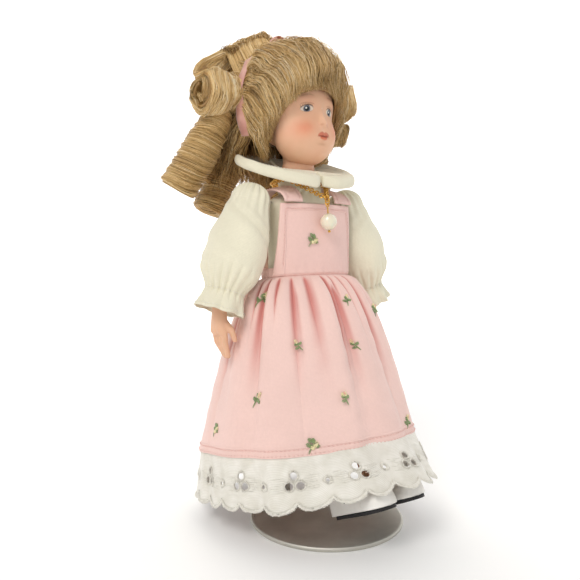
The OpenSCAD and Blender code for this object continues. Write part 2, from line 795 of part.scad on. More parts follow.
// The trim hangs from the hem and is pushed forward by the feet.
function trim_ring(v, grow) = let (lean = tan(hem_tilt))
    [for (i = [0 : 55]) let (
        w = 360 * i / 56,
        f = max(-sin(w), 0),
        a = hem_r + v + grow,
        b = hem_r + v * (1 + 14 * pow(f, 1.5)) + grow,
        drop = trim_w * v - 7.9 * v * pow(f, 3))
        [a * cos(w), hem_y + b * sin(w), hem_z - hem_r * sin(w) * lean - 0.15 - drop]];

module lace_trim() {
    color(white) loft_wall(
        [for (k = [4 : -1 : 0]) trim_ring(k / 4, 0)],
        [for (k = [4 : -1 : 0]) trim_ring(k / 4, -cloth)]);
}

// Round snap that closes the waistband at the back
module back_snap() {
    color(steel) on_body() translate([0, waist_b + 0.05, 0]) rotate([-90, 0, 0]) {
        cylinder(r = 1.6, h = 0.5, $fn = fine);
        cylinder(r = 0.7, h = 0.9, $fn = fine);
    }
}

// ---------------------------------------------------------------- necklace

link_wire = 0.28;
bail_r = 1.25;      // middle radius of the larger link that the pearl hangs from
chain_r = 12;       // the chain round the neck
chain_z = 40.2;
chain_turn = 65;    // from the front to where the chain leaves the neck
first_link = bail_r + link_r - 3.2 * link_wire;
neck_end = [chain_r * sin(chain_turn), -chain_r * cos(chain_turn), chain_z];
bail = [0, pendant_y, pendant_z];
arm_len = norm(neck_end - bail);
arc_len = PI * chain_r * (180 - chain_turn) / 180;
side_links = round((arm_len + arc_len - first_link) / (1.84 * (link_r - 2 * link_wire)));
link_step = (arm_len + arc_len - first_link) / side_links;

// A point of the chain at distance d from the bail, on the doll's left
function chain_at(d) = d < arm_len
    ? bail + (neck_end - bail) * d / arm_len
    : let (w = chain_turn + (d - arm_len) / (PI * chain_r) * 180)
        [chain_r * sin(w), -chain_r * cos(w), chain_z];

// Points of a round link of middle radius r: along is the chain's direction, roll turns its plane
function unit(v) = v / norm(v);
function link_points(at, along, roll, r) = let (
    x = unit(along),
    u = unit(cross(x, abs(x[2]) > 0.9 ? [1, 0, 0] : [0, 0, 1])),
    v = cross(x, u),
    y = u * cos(roll) + v * sin(roll),
    z = cross(x, y))
    [for (i = [0 : 7], j = [0 : 3]) let (a = 45 * i, b = 90 * j, e = r + link_wire * cos(b))
        at + x * e * cos(a) + y * e * sin(a) + z * link_wire * sin(b)];
function link_faces(first) = triangles([for (i = [0 : 7], j = [0 : 3]) let (p = (i + 1) % 8, q = (j + 1) % 4)
    [first + 4 * i + j, first + 4 * i + q, first + 4 * p + q, first + 4 * p + j]]);

// The same link on the doll's right, with its points in the order that keeps its faces outward
function mirrored(l) = [for (i = [0 : 7], j = [0 : 3]) let (p = l[4 * i + (4 - j) % 4]) [-p[0], p[1], p[2]]];

module necklace_chain() {
    left = [for (i = [0 : side_links - 1]) let (d = first_link + i * link_step)
        link_points(chain_at(d), chain_at(d + 0.3) - chain_at(d - 0.3), 90 * (i % 2), link_r - link_wire)];
    back = link_points(chain_at(arm_len + arc_len), [1, 0, 0], 90 * (side_links % 2), link_r - link_wire);
    links = concat([link_points(bail, [1, 0, 0], 90, bail_r)], left, [back], [for (l = left) mirrored(l)]);
    color(gold) on_body() polyhedron(flat(links), flat([for (k = [0 : len(links) - 1]) link_faces(32 * k)]));
}

ring_r = 1.2;       // middle radius of the jump ring
ring_wire = 0.25;
ring_z = pendant_z - 1.55;
eye_z = ring_z - 1.35;
pearl_z = pendant_z - 10;

module jump_ring() {
    color(gold) on_body() translate([0, pendant_y, ring_z]) rotate([0, 90, 0])
        rotate_extrude($fn = 32) translate([ring_r, 0]) circle(ring_wire, $fn = 16);
}

module pearl_pin() {
    color(gold) on_body() translate([0, pendant_y, 0]) {
        translate([0, 0, eye_z]) rotate([90, 0, 0])
            rotate_extrude($fn = 32) translate([0.75, 0]) circle(ring_wire, $fn = 16);
        translate([0, 0, pearl_z - pearl_d / 2 - 0.2])
            cylinder(r = 0.3, h = eye_z - 0.75 - pearl_z + pearl_d / 2 + 0.2, $fn = 24);
        translate([0, 0, pearl_z - pearl_d / 2 - 0.45]) sphere(0.6, $fn = 24);
    }
}

module pearl() {
    color(cream) on_body() translate([0, pendant_y, pearl_z]) difference() {
        sphere(pearl_d / 2, $fn = fine);
        translate([0, 0, -10]) cylinder(r = 0.32, h = 20, $fn = 24);
    }
}

stand_base();
post_tube();
post_rivet();
post_rod();
waist_clip();
clip_ferrule();
clip_sleeves();
torso();
shoulder_plate();
arm_wire();
hip_wire();
bloomers_seat();
neck_bolt();
neck_spring();
neck_nut();
head();
crown_pate();
wig_cap();
wig_bangs();
wig_crown();
hair_puff();
curls_right();
curls_left();
curls_back();
headband();
ribbon_bow();
blouse_body();
collar_right();
collar_left();
bib();
strap_right();
strap_left();
waistband();
skirt();
lace_trim();
back_snap();
upper_arm_right();
forearm_right();
arm_tie_right();
sleeve_right();
cuff_elastic_right();
upper_arm_left();
forearm_left();
arm_tie_left();
sleeve_left();
cuff_elastic_left();
thigh_right();
shin_right();
bloomer_leg_right();
shoe_right();
sole_right();
thigh_left();
shin_left();
bloomer_leg_left();
shoe_left();
sole_left();
necklace_chain();
jump_ring();
pearl_pin();
pearl();
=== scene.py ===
import math

import bmesh
import bpy
import numpy as np
from mathutils import Matrix, Vector


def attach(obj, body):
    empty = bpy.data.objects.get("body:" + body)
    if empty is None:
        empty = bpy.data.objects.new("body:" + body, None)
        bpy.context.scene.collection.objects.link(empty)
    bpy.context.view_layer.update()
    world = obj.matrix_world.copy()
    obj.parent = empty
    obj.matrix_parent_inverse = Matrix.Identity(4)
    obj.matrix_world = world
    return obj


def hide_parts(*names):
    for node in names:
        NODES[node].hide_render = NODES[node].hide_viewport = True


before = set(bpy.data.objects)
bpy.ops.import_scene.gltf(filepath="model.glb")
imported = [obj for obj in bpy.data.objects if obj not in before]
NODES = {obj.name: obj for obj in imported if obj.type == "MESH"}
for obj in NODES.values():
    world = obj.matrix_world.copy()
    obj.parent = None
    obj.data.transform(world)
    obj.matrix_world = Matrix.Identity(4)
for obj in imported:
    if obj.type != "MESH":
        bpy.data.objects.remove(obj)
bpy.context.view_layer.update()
RNG = np.random.default_rng(7)
RIGHT, LEFT = -1, 1


# ------------------------------------------------------------ frames, in millimetres

def shift(x, y, z):
    m = np.eye(4)
    m[:3, 3] = (x, y, z)
    return m


def turn(axis, deg):
    return np.array(Matrix.Rotation(math.radians(deg), 4, axis))


BODY = shift(0, 14, 104) @ turn("X", -6)
HEAD = BODY @ shift(0, 0, 70.5) @ turn("X", -5) @ turn("Z", 4)


def arm_frame(side):
    return BODY @ shift(side * 27.5, 0, 30) @ turn("X", 6) @ turn("Y", -side * 19)


def leg_frame(side):
    return BODY @ shift(side * 8, 0, -14) @ turn("X", -18)


def put(m, p):
    """Points of a frame, in mm, as row frame points in mm."""
    p = np.asarray(p, float)
    return p @ m[:3, :3].T + m[:3, 3]


def unit(v):
    return v / np.maximum(np.linalg.norm(v, axis=-1, keepdims=True), 1e-9)


def smooth_step(a, b, x):
    t = np.clip((x - a) / (b - a), 0, 1)
    return t * t * (3 - 2 * t)


def wobble(x, seed, n=5, low=1, high=6):
    """A smooth periodic random function of an angle, about -1 to 1."""
    r = np.random.default_rng(seed)
    out = np.zeros_like(np.asarray(x, float))
    for k in range(n):
        f = r.integers(low, high + 1)
        out = out + np.sin(f * x + r.uniform(0, 2 * np.pi)) * r.uniform(0.5, 1)
    return out / (0.75 * n ** 0.5 * 1.4)


# ------------------------------------------------------------ meshes

def raw(name, points, faces, loop_uv=None, tone=None):
    """A mesh object from points in mm and faces of one size."""
    points = np.asarray(points, np.float32).reshape(-1, 3) * 0.001
    faces = np.asarray(faces, np.int32)
    k = faces.shape[1]
    me = bpy.data.meshes.new(name)
    me.vertices.add(len(points))
    me.vertices.foreach_set("co", points.ravel())
    me.loops.add(faces.size)
    me.loops.foreach_set("vertex_index", faces.ravel())
    me.polygons.add(len(faces))
    me.polygons.foreach_set("loop_start", np.arange(0, faces.size, k, dtype=np.int32))
    me.update(calc_edges=True)
    if loop_uv is not None:
        layer = me.uv_layers.new(name="cloth")
        layer.data.foreach_set("uv", np.asarray(loop_uv, np.float32).ravel())
    if tone is not None:
        tone = np.asarray(tone, np.float32).reshape(len(points), -1)
        full = np.ones((len(points), 4), np.float32)
        full[:, : tone.shape[1]] = tone
        if tone.shape[1] == 1:
            full[:, 1] = full[:, 2] = full[:, 0]
        layer = me.color_attributes.new("tone", "FLOAT_COLOR", "POINT")
        layer.data.foreach_set("color", full.ravel())
    me.validate()
    me.polygons.foreach_set("use_smooth", np.ones(len(me.polygons), bool))
    ob = bpy.data.objects.new(name, me)
    bpy.context.scene.collection.objects.link(ob)
    return ob


def runs(*spans):
    """Values over spans of (from, to, count) that follow on from one another."""
    return np.concatenate([np.linspace(*s)[:-1] for s in spans[:-1]] + [np.linspace(*spans[-1])])


def lathe(profile, angles):
    """Rings round Z from a profile of (radius, height)."""
    return np.array([[(r * np.cos(q), r * np.sin(q), z) for q in angles] for r, z in profile])


def oval(a, b, z, w):
    """One ring of an elliptical tube, with half axes a and b at angles w."""
    return np.stack([a * np.cos(w), b * np.sin(w), np.full_like(w, z)], -1)


def grid_faces(rows, cols, wrap=False):
    idx = np.arange(rows * cols).reshape(rows, cols)
    if wrap:
        idx = np.hstack([idx, idx[:, :1]])
    return np.stack([idx[:-1, :-1], idx[:-1, 1:], idx[1:, 1:], idx[1:, :-1]], -1).reshape(-1, 4)


def grid(name, P, wrap=False, size=None, tone=None, keep=None):
    """A grid of points (rows, columns, 3). size is the cloth's (width, height) in mm for its weave."""
    rows, cols = P.shape[:2]
    faces = grid_faces(rows, cols, wrap)
    uv = None
    if size is not None:
        r, c = rows - 1, cols - (0 if wrap else 1)
        jj, ii = np.meshgrid(np.arange(r), np.arange(c), indexing="ij")
        corner = [(ii, jj), (ii + 1, jj), (ii + 1, jj + 1), (ii, jj + 1)]
        uv = np.stack([np.stack([a * size[0] / c, b * size[1] / r], -1) for a, b in corner], -2)
        uv = uv.reshape(-1, 4, 2) * 0.001
    if keep is not None:
        faces = faces[keep]
        uv = uv[keep] if uv is not None else None
    return raw(name, P.reshape(-1, 3), faces, uv, tone)


def tidy(ob):
    """Drops loose points and makes the faces agree on their outside."""
    bm = bmesh.new()
    bm.from_mesh(ob.data)
    loose = [v for v in bm.verts if not v.link_faces]
    bmesh.ops.delete(bm, geom=loose, context="VERTS")
    bmesh.ops.recalc_face_normals(bm, faces=bm.faces)
    bm.to_mesh(ob.data)
    bm.free()
    return ob


def thick(ob, t, offset=-1.0, even=True):
    m = ob.modifiers.new("thick", "SOLIDIFY")
    m.thickness = t * 0.001
    m.offset = offset
    m.use_even_offset = even
    return ob


def subdivide(ob):
    m = ob.modifiers.new("smooth", "SUBSURF")
    m.levels = m.render_levels = 1
    return ob


def bake(ob):
    """Applies the modifiers."""
    bpy.context.view_layer.update()
    me = bpy.data.meshes.new_from_object(ob.evaluated_get(bpy.context.evaluated_depsgraph_get()))
    ob.modifiers.clear()
    ob.data = me
    return ob


def tubes(paths, radii, sides=3, ref=None, tone=None, name="tubes", closed=False):
    """Many round threads in one mesh. paths is (k, n, 3) in mm, radii (k, n), (k, 1) or a number."""
    paths = np.asarray(paths, float)
    k, n = paths.shape[:2]
    radii = np.broadcast_to(np.asarray(radii, float), (k, n))
    if closed:
        tangent = unit(np.roll(paths, -1, 1) - np.roll(paths, 1, 1))
    else:
        tangent = unit(np.gradient(paths, axis=1))
    if ref is None:
        ref = np.array([0.13, 0.31, 0.94])
    ref = np.broadcast_to(ref, paths.shape)
    side = np.cross(tangent, ref)
    weak = np.linalg.norm(side, axis=-1, keepdims=True) < 0.15
    side = unit(np.where(weak, np.cross(tangent, np.array([0.9, 0.3, 0.2])), side))
    up = np.cross(tangent, side)
    a = 2 * np.pi * np.arange(sides) / sides
    ring = side[:, :, None] * np.cos(a)[:, None] + up[:, :, None] * np.sin(a)[:, None]
    pts = paths[:, :, None] + ring * radii[:, :, None, None]
    base = np.arange(k)[:, None, None] * n * sides
    last = n if closed else n - 1
    i, j = np.meshgrid(np.arange(last), np.arange(sides), indexing="ij")
    j2, i2 = (j + 1) % sides, (i + 1) % n
    quad = np.stack([i * sides + j, i * sides + j2, i2 * sides + j2, i2 * sides + j], -1).reshape(1, -1, 4)
    faces = (quad + base).reshape(-1, 4)
    t = None
    if tone is not None:
        tone = np.asarray(tone, float)
        if tone.ndim == 1:
            tone = np.broadcast_to(tone[:, None], (k, n))
        t = np.repeat(tone.reshape(k * n), sides)
    if sides == 3 and not closed:
        a0 = np.arange(k) * n * 3
        e = a0 + (n - 1) * 3
        caps = np.concatenate([np.stack([a0 + 2, a0 + 1, a0], -1), np.stack([e, e + 1, e + 2], -1)])
        tri = np.concatenate([faces[:, [0, 1, 2]], faces[:, [0, 2, 3]], caps])
        return raw(name, pts, tri, None, t)
    return raw(name, pts, faces, None, t)


def join(name, parts):
    """One object from several mesh objects with the same material."""
    bm = bmesh.new()
    for p in parts:
        bm.from_mesh(p.data)
    me = bpy.data.meshes.new(name)
    bm.to_mesh(me)
    bm.free()
    for p in parts:
        bpy.data.objects.remove(p)
    ob = bpy.data.objects.new(name, me)
    bpy.context.scene.collection.objects.link(ob)
    return ob


def give(ob, mat, body=None, nodes=()):
    ob.data.materials.clear()
    ob.data.materials.append(mat)
    if body:
        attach(ob, body)
    if nodes:
        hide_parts(*nodes)
    return ob


# ------------------------------------------------------------ materials

class Paint:
    """Small helper that writes a material's nodes."""

    def __init__(self, name, **values):
        self.mat = bpy.data.materials.new(name)
        self.mat.use_nodes = True
        self.tree = self.mat.node_tree
        self.tree.nodes.clear()
        self.out = self.tree.nodes.new("ShaderNodeOutputMaterial")
        self.bsdf = self.tree.nodes.new("ShaderNodeBsdfPrincipled")
        self.link(self.bsdf.outputs[0], self.out.inputs[0])
        for key, value in values.items():
            self.set(key.replace("_", " "), value)

    def set(self, socket, value):
        self.feed(self.bsdf, socket, value)

    def link(self, a, b):
        self.tree.links.new(a, b)

    def node(self, kind, **values):
        n = self.tree.nodes.new("ShaderNode" + kind)
        for key, value in values.items():
            setattr(n, key, value)
        return n

    def feed(self, n, index, value):
        """Links another node's output to an input, or writes a constant into it."""
        s = n.inputs[index]
        if hasattr(value, "links"):
            self.link(value, s)
        elif hasattr(value, "__len__") and len(value) == 3 and s.type == "RGBA":
            s.default_value = (*value, 1)
        else:
            s.default_value = value

    def place(self, scale=(1, 1, 1), uv=False, rot=(0, 0, 0)):
        c = self.node("TexCoord")
        m = self.node("Mapping")
        m.inputs["Scale"].default_value = scale
        m.inputs["Rotation"].default_value = rot
        self.link(c.outputs["UV" if uv else "Object"], m.inputs[0])
        return m.outputs[0]

    def noise(self, at, scale, detail=3, rough=0.5, warp=0.0):
        n = self.node("TexNoise")
        self.link(at, n.inputs["Vector"])
        n.inputs["Scale"].default_value = scale
        n.inputs["Detail"].default_value = detail
        n.inputs["Roughness"].default_value = rough
        n.inputs["Distortion"].default_value = warp
        return n.outputs["Fac"]

    def wave(self, at, scale, axis="X", warp=0.0):
        n = self.node("TexWave", bands_direction=axis)
        self.link(at, n.inputs["Vector"])
        n.inputs["Scale"].default_value = scale
        n.inputs["Distortion"].default_value = warp
        return n.outputs["Fac"]

    def math(self, op, a, b=0.0):
        n = self.node("Math", operation=op)
        self.feed(n, 0, a)
        self.feed(n, 1, b)
        return n.outputs[0]

    def span(self, v, a, b, c=0.0, d=1.0):
        n = self.node("MapRange")
        for i, x in enumerate((v, a, b, c, d)):
            self.feed(n, i, x)
        return n.outputs[0]

    def ramp(self, v, stops):
        n = self.node("ValToRGB")
        el = n.color_ramp.elements
        while len(el) < len(stops):
            el.new(0.5)
        for e, (pos, col) in zip(el, stops):
            e.position = pos
            e.color = (*col, 1)
        self.feed(n, 0, v)
        return n.outputs[0]

    def mix(self, f, a, b, mode="MIX"):
        n = self.node("Mix", data_type="RGBA", blend_type=mode)
        self.feed(n, 0, f)
        self.feed(n, 6, a)
        self.feed(n, 7, b)
        return n.outputs[2]

    def tone(self):
        n = self.node("VertexColor", layer_name="tone")
        return n.outputs[0]

    def bump(self, height, strength, dist, below=None):
        n = self.node("Bump")
        n.inputs["Strength"].default_value = strength
        n.inputs["Distance"].default_value = dist
        self.link(height, n.inputs["Height"])
        if below is not None:
            self.link(below, n.inputs["Normal"])
        self.link(n.outputs[0], self.bsdf.inputs["Normal"])
        return n.outputs[0]


def rgb(r, g, b):
    """sRGB 0-255 as linear."""
    c = np.array([r, g, b]) / 255
    return tuple(np.where(c <= 0.04045, c / 12.92, ((c + 0.055) / 1.055) ** 2.4))


def cotton(name, base, weave=2600, uv=True, sheen=0.25, deep=None):
    """Plain woven cotton with threads, slubs and soft creases; deep is a painted shade colour, mixed in where
    the tone attribute is low in the folds.
    """
    p = Paint(name, Roughness=0.85, Sheen_Weight=sheen, Sheen_Roughness=0.5)
    at = p.place(uv=uv)
    obj = p.place()
    a = p.wave(at, weave * 0.31, "X")
    b = p.wave(at, weave * 0.31, "Y")
    thread = p.math("MULTIPLY", p.math("ADD", a, b), 0.5)
    slub = p.noise(at if uv else obj, 900, 4, 0.6)
    broad = p.noise(obj, 38, 2, 0.45)
    dark = tuple(c * 0.94 for c in base)
    light = tuple(min(c * 1.02, 1) for c in base)
    col = p.ramp(broad, [(0.3, dark), (0.55, base), (0.75, light)])
    col = p.mix(p.span(slub, 0.35, 0.8, 0, 0.35), col, tuple(c * 0.86 for c in base))
    col = p.mix(p.span(thread, 0.2, 0.8, 0.22, 0), col, tuple(c * 0.72 for c in base))
    if deep:
        # painted shade: the deep colour where the tone attribute is low, in the fold valleys
        col = p.mix(p.tone(), deep, col)
    p.set("Base Color", col)
    p.set("Roughness", p.span(slub, 0.3, 0.8, 0.78, 0.92))
    low = p.bump(p.noise(obj, 320, 3, 0.55, 0.6), 0.35, 0.0006)
    p.bump(p.math("ADD", thread, p.math("MULTIPLY", slub, 0.5)), 0.35, 0.00012, low)
    return p.mat


def steel_paint():
    p = Paint("satin_steel", Metallic=0.72, Anisotropic=0.4)
    at = p.place((1, 1, 14))
    brush = p.noise(p.place((6, 220, 40)), 26, 5, 0.65)
    cloud = p.noise(at, 55, 4, 0.6)
    p.set("Base Color", p.ramp(cloud, [(0.3, rgb(186, 183, 174)), (0.7, rgb(212, 209, 200))]))
    p.set("Roughness", p.span(p.math("ADD", brush, cloud), 0.6, 1.4, 0.42, 0.6))
    p.bump(brush, 0.25, 0.00006)
    return p.mat


def bisque_paint(name, painted):
    p = Paint(name, Roughness=0.56, Specular_IOR_Level=0.4, Subsurface_Weight=0.12, Subsurface_Scale=0.004)
    p.set("Subsurface Radius", (1.0, 0.45, 0.25))
    at = p.place()
    cloud = p.noise(at, 70, 3, 0.5)
    grain = p.noise(at, 2400, 2, 0.5)
    skin = p.ramp(cloud, [(0.25, rgb(222, 172, 140)), (0.6, rgb(232, 186, 154)), (0.85, rgb(238, 196, 168))])
    if painted:
        skin = p.mix(1.0, skin, p.tone(), "MULTIPLY")
    p.set("Base Color", skin)
    p.set("Roughness", p.span(grain, 0.3, 0.7, 0.5, 0.64))
    p.bump(grain, 0.25, 0.00005)
    return p.mat


def hair_paint():
    p = Paint("golden_hair", Specular_IOR_Level=0.55)
    at = p.place()
    clump = p.noise(at, 130, 3, 0.6)
    fine = p.noise(at, 900, 2, 0.5)
    f = p.math("ADD", p.math("MULTIPLY", p.tone(), 0.78), p.math("MULTIPLY", clump, 0.22))
    col = p.ramp(f, [(0.10, rgb(104, 74, 38)), (0.30, rgb(160, 122, 68)), (0.50, rgb(214, 176, 114)),
                     (0.72, rgb(242, 212, 156)), (0.92, rgb(253, 238, 204))])
    p.set("Base Color", col)
    p.set("Roughness", p.span(fine, 0.3, 0.7, 0.34, 0.5))
    return p.mat


def satin_paint(name, base, dark):
    p = Paint(name, Sheen_Weight=0.5, Sheen_Roughness=0.3, Specular_IOR_Level=0.6)
    at = p.place(uv=True)
    rib = p.wave(at, 1500, "X")
    cloud = p.noise(p.place(), 160, 3, 0.5)
    p.set("Base Color", p.mix(p.span(rib, 0, 1, 0.0, 0.25), p.ramp(cloud, [(0.3, dark), (0.7, base)]), dark))
    p.set("Roughness", p.span(cloud, 0.3, 0.7, 0.28, 0.42))
    p.bump(rib, 0.3, 0.00005)
    return p.mat


def thread_paint(name, base, dark):
    p = Paint(name, Roughness=0.5, Sheen_Weight=0.4)
    at = p.place()
    twist = p.wave(p.place(rot=(0.6, 0.4, 0.8)), 900, "DIAGONAL")
    p.set("Base Color", p.mix(p.noise(at, 900, 2), dark, base))
    p.set("Roughness", p.span(twist, 0, 1, 0.42, 0.6))
    p.bump(twist, 0.4, 0.00008)
    return p.mat


def lace_paint():
    p = Paint("eyelet_cotton", Roughness=0.8, Sheen_Weight=0.3)
    at = p.place(uv=True)
    rows = p.wave(at, 520, "Y", 0.4)
    weft = p.wave(at, 900, "X", 0.3)
    cloud = p.noise(p.place(), 170, 3, 0.5)
    p.set("Base Color", p.mix(p.span(rows, 0.1, 0.7, 0.3, 0), p.ramp(
        cloud, [(0.3, rgb(226, 222, 210)), (0.7, rgb(246, 243, 235))]), rgb(206, 200, 186)))
    p.set("Roughness", p.span(cloud, 0.3, 0.7, 0.72, 0.88))
    p.bump(p.math("ADD", rows, p.math("MULTIPLY", weft, 0.6)), 0.4, 0.00012, p.bump(cloud, 0.3, 0.0006))
    return p.mat


def flecked_paint(name, noise, dark, light, rough, relief, scale=(1, 1, 1), stops=(0.3, 0.7), **values):
    """A paint led by one soft noise: its two colours, its span of roughness and its relief."""
    p = Paint(name, **values)
    fleck = p.noise(p.place(scale), *noise)
    p.set("Base Color", p.ramp(fleck, [(stops[0], rgb(*dark)), (stops[1], rgb(*light))]))
    p.set("Roughness", p.span(fleck, 0.3, 0.7, *rough))
    p.bump(fleck, *relief)
    return p.mat


def pearl_paint():
    p = Paint("pearl_lustre", Coat_Weight=1.0, Coat_Roughness=0.08, Subsurface_Weight=0.2,
              Subsurface_Scale=0.002)
    at = p.place()
    cloud = p.noise(at, 90, 2, 0.4)
    rim = p.node("LayerWeight")
    rim.inputs["Blend"].default_value = 0.35
    body = p.ramp(cloud, [(0.3, rgb(236, 228, 204)), (0.7, rgb(243, 236, 216))])
    # painted shade: the colour darkens towards the pearl's outline as seen from the camera
    p.set("Base Color", p.mix(p.span(rim.outputs["Facing"], 0.1, 0.9, 0, 0.55), body, rgb(206, 190, 158)))
    p.set("Roughness", p.span(cloud, 0.3, 0.7, 0.22, 0.34))
    p.bump(cloud, 0.08, 0.00004)
    return p.mat


def leather_paint():
    p = Paint("white_leather", Coat_Weight=0.35, Coat_Roughness=0.2, Specular_IOR_Level=0.5)
    at = p.place()
    v = p.node("TexVoronoi", feature="DISTANCE_TO_EDGE")
    p.link(at, v.inputs["Vector"])
    v.inputs["Scale"].default_value = 1300
    grain = p.span(v.outputs["Distance"], 0, 0.12, 0, 1)
    cloud = p.noise(at, 120, 4, 0.55)
    scuff = p.span(p.noise(at, 420, 5, 0.7, 1.5), 0.62, 0.78, 0, 0.5)
    p.set("Base Color", p.mix(scuff, p.ramp(
        cloud, [(0.3, rgb(232, 228, 220)), (0.7, rgb(247, 245, 240))]), rgb(204, 197, 184)))
    p.set("Roughness", p.span(cloud, 0.3, 0.7, 0.3, 0.45))
    p.bump(grain, 0.18, 0.00005, p.bump(cloud, 0.1, 0.0004))
    return p.mat


def floor_paint():
    p = Paint("pale_floor", Roughness=0.7, Specular_IOR_Level=0.2)
    cloud = p.noise(p.place(), 3, 3, 0.5)
    p.set("Base Color", p.ramp(cloud, [(0.3, (0.90, 0.895, 0.885)), (0.7, (0.93, 0.928, 0.92))]))
    p.set("Emission Color", (1.0, 0.998, 0.99))
    # emission from the tone attribute: the floor glows as painted light
    p.set("Emission Strength", p.tone())
    return p.mat


STEEL, PEARL = steel_paint(), pearl_paint()
GOLD = flecked_paint("gold_plate", (500, 3, 0.6), (205, 150, 62), (240, 196, 104), (0.18, 0.36),
                     (0.15, 0.00004), Metallic=1.0)
RUBBER = flecked_paint("black_sole", (500, 4, 0.65), (20, 18, 20), (46, 43, 44), (0.5, 0.75), (0.3, 0.0001),
                       stops=(0.35, 0.75), Specular_IOR_Level=0.4)
VINYL = flecked_paint("white_vinyl", (320, 3, 0.5), (214, 210, 200), (236, 233, 226), (0.25, 0.4),
                      (0.1, 0.0001), Transmission_Weight=0.15, Specular_IOR_Level=0.5)
CARD = flecked_paint("pressed_card", (420, 5, 0.65), (160, 136, 96), (206, 184, 142), (0.8, 0.95),
                     (0.4, 0.0002), scale=(1, 4, 1))
FACE, BISQUE = bisque_paint("face_paint_and_painted_light", True), bisque_paint("bisque", False)
HAIR = hair_paint()
PINK = cotton("pink_cotton", rgb(246, 207, 198))
# its deep colour is painted shade for the valleys of the gathers
GATHERED = cotton("gathered_pink", rgb(248, 212, 203), deep=rgb(214, 140, 132))
CREAM = cotton("cream_cotton", rgb(240, 234, 210), weave=2200, sheen=0.2)
MUSLIN = cotton("muslin", rgb(224, 214, 192), weave=1800, uv=False)
LAWN = cotton("white_lawn", rgb(240, 238, 230), uv=False)
NET = cotton("wig_net", rgb(120, 94, 56), weave=900, uv=False)
ELASTIC = cotton("covered_elastic", rgb(236, 233, 224), weave=1300, uv=False)
LACE = lace_paint()
SATIN = satin_paint("dusty_satin", rgb(238, 190, 178), rgb(198, 134, 122))
LEATHER = leather_paint()
PINK_THREAD = thread_paint("pink_thread", rgb(250, 214, 205), rgb(222, 168, 160))
WHITE_THREAD = thread_paint("white_thread", rgb(250, 248, 240), rgb(222, 216, 202))
GREEN_THREAD = thread_paint("green_thread", rgb(158, 178, 118), rgb(112, 138, 84))
BUD_THREAD = thread_paint("bud_thread", rgb(252, 244, 206), rgb(236, 220, 156))
ROSE_THREAD = thread_paint("rose_thread", rgb(250, 206, 184), rgb(236, 172, 150))


# ------------------------------------------------------------ camera, floor and light

VIEW_TURN = -39
scene = bpy.context.scene
cam = bpy.data.objects.new("camera", bpy.data.cameras.new("camera"))
scene.collection.objects.link(cam)
scene.camera = cam
cam.data.sensor_width = 36
cam.data.lens = 40.97
cam.data.shift_y = -0.069
cam.data.clip_start = 0.01
cam.location = (-0.1883, -0.2079, 0.1138)
cam.rotation_euler = (math.pi / 2, 0, math.radians(VIEW_TURN))
scene.view_settings.view_transform = "Standard"

# one sweep of paper: flat under the doll, then up behind it; it glows as painted light, dim under the doll
# and brighter behind it
a = np.radians(np.linspace(0, 90, 16))
sweep = [(p, -0.2) for p in (-4000, -1500, -600, -200, 0, 200, 400, 700, 1000, 1200)]
sweep += [(1300 + 700 * math.sin(q), 700 - 700 * math.cos(q) - 0.2) for q in a] + [(2000, 4000)]
across = np.linspace(-5000, 5000, 11)
paper = put(turn("Z", VIEW_TURN), np.array([[[x, p, z] for x in across] for p, z in sweep]))
glow = [0.10 + 0.62 * smooth_step(-100, 1500, p) for p, z in sweep]
floor = grid("floor", paper, tone=np.repeat(glow, len(across)))
give(floor, floor_paint())

world = bpy.data.worlds.new("studio")
scene.world = world
world.use_nodes = True
world.node_tree.nodes["Background"].inputs[0].default_value = (1.0, 0.995, 0.985, 1)
world.node_tree.nodes["Background"].inputs[1].default_value = 0.56


def lamp(name, at, aim, size, power, colour=(1, 1, 1)):
    d = bpy.data.lights.new(name, "AREA")
    d.shape = "DISK"
    d.size = size
    d.energy = power
    d.color = colour
    o = bpy.data.objects.new(name, d)
    scene.collection.objects.link(o)
    o.location = at
    o.rotation_euler = (Vector(aim) - Vector(at)).to_track_quat("-Z", "Y").to_euler()


lamp("key", (-0.75, -0.35, 0.85), (0, 0, 0.12), 0.45, 4.6, (1.0, 0.975, 0.94))
lamp("fill", (0.7, -0.8, 0.45), (0, 0, 0.1), 0.9, 0.9, (0.97, 0.985, 1.0))
lamp("rim", (0.3, 0.9, 0.7), (0, 0, 0.14), 0.5, 1.3)


# ------------------------------------------------------------ head

EYE_X, EYE_Z = 6.7, -3.0


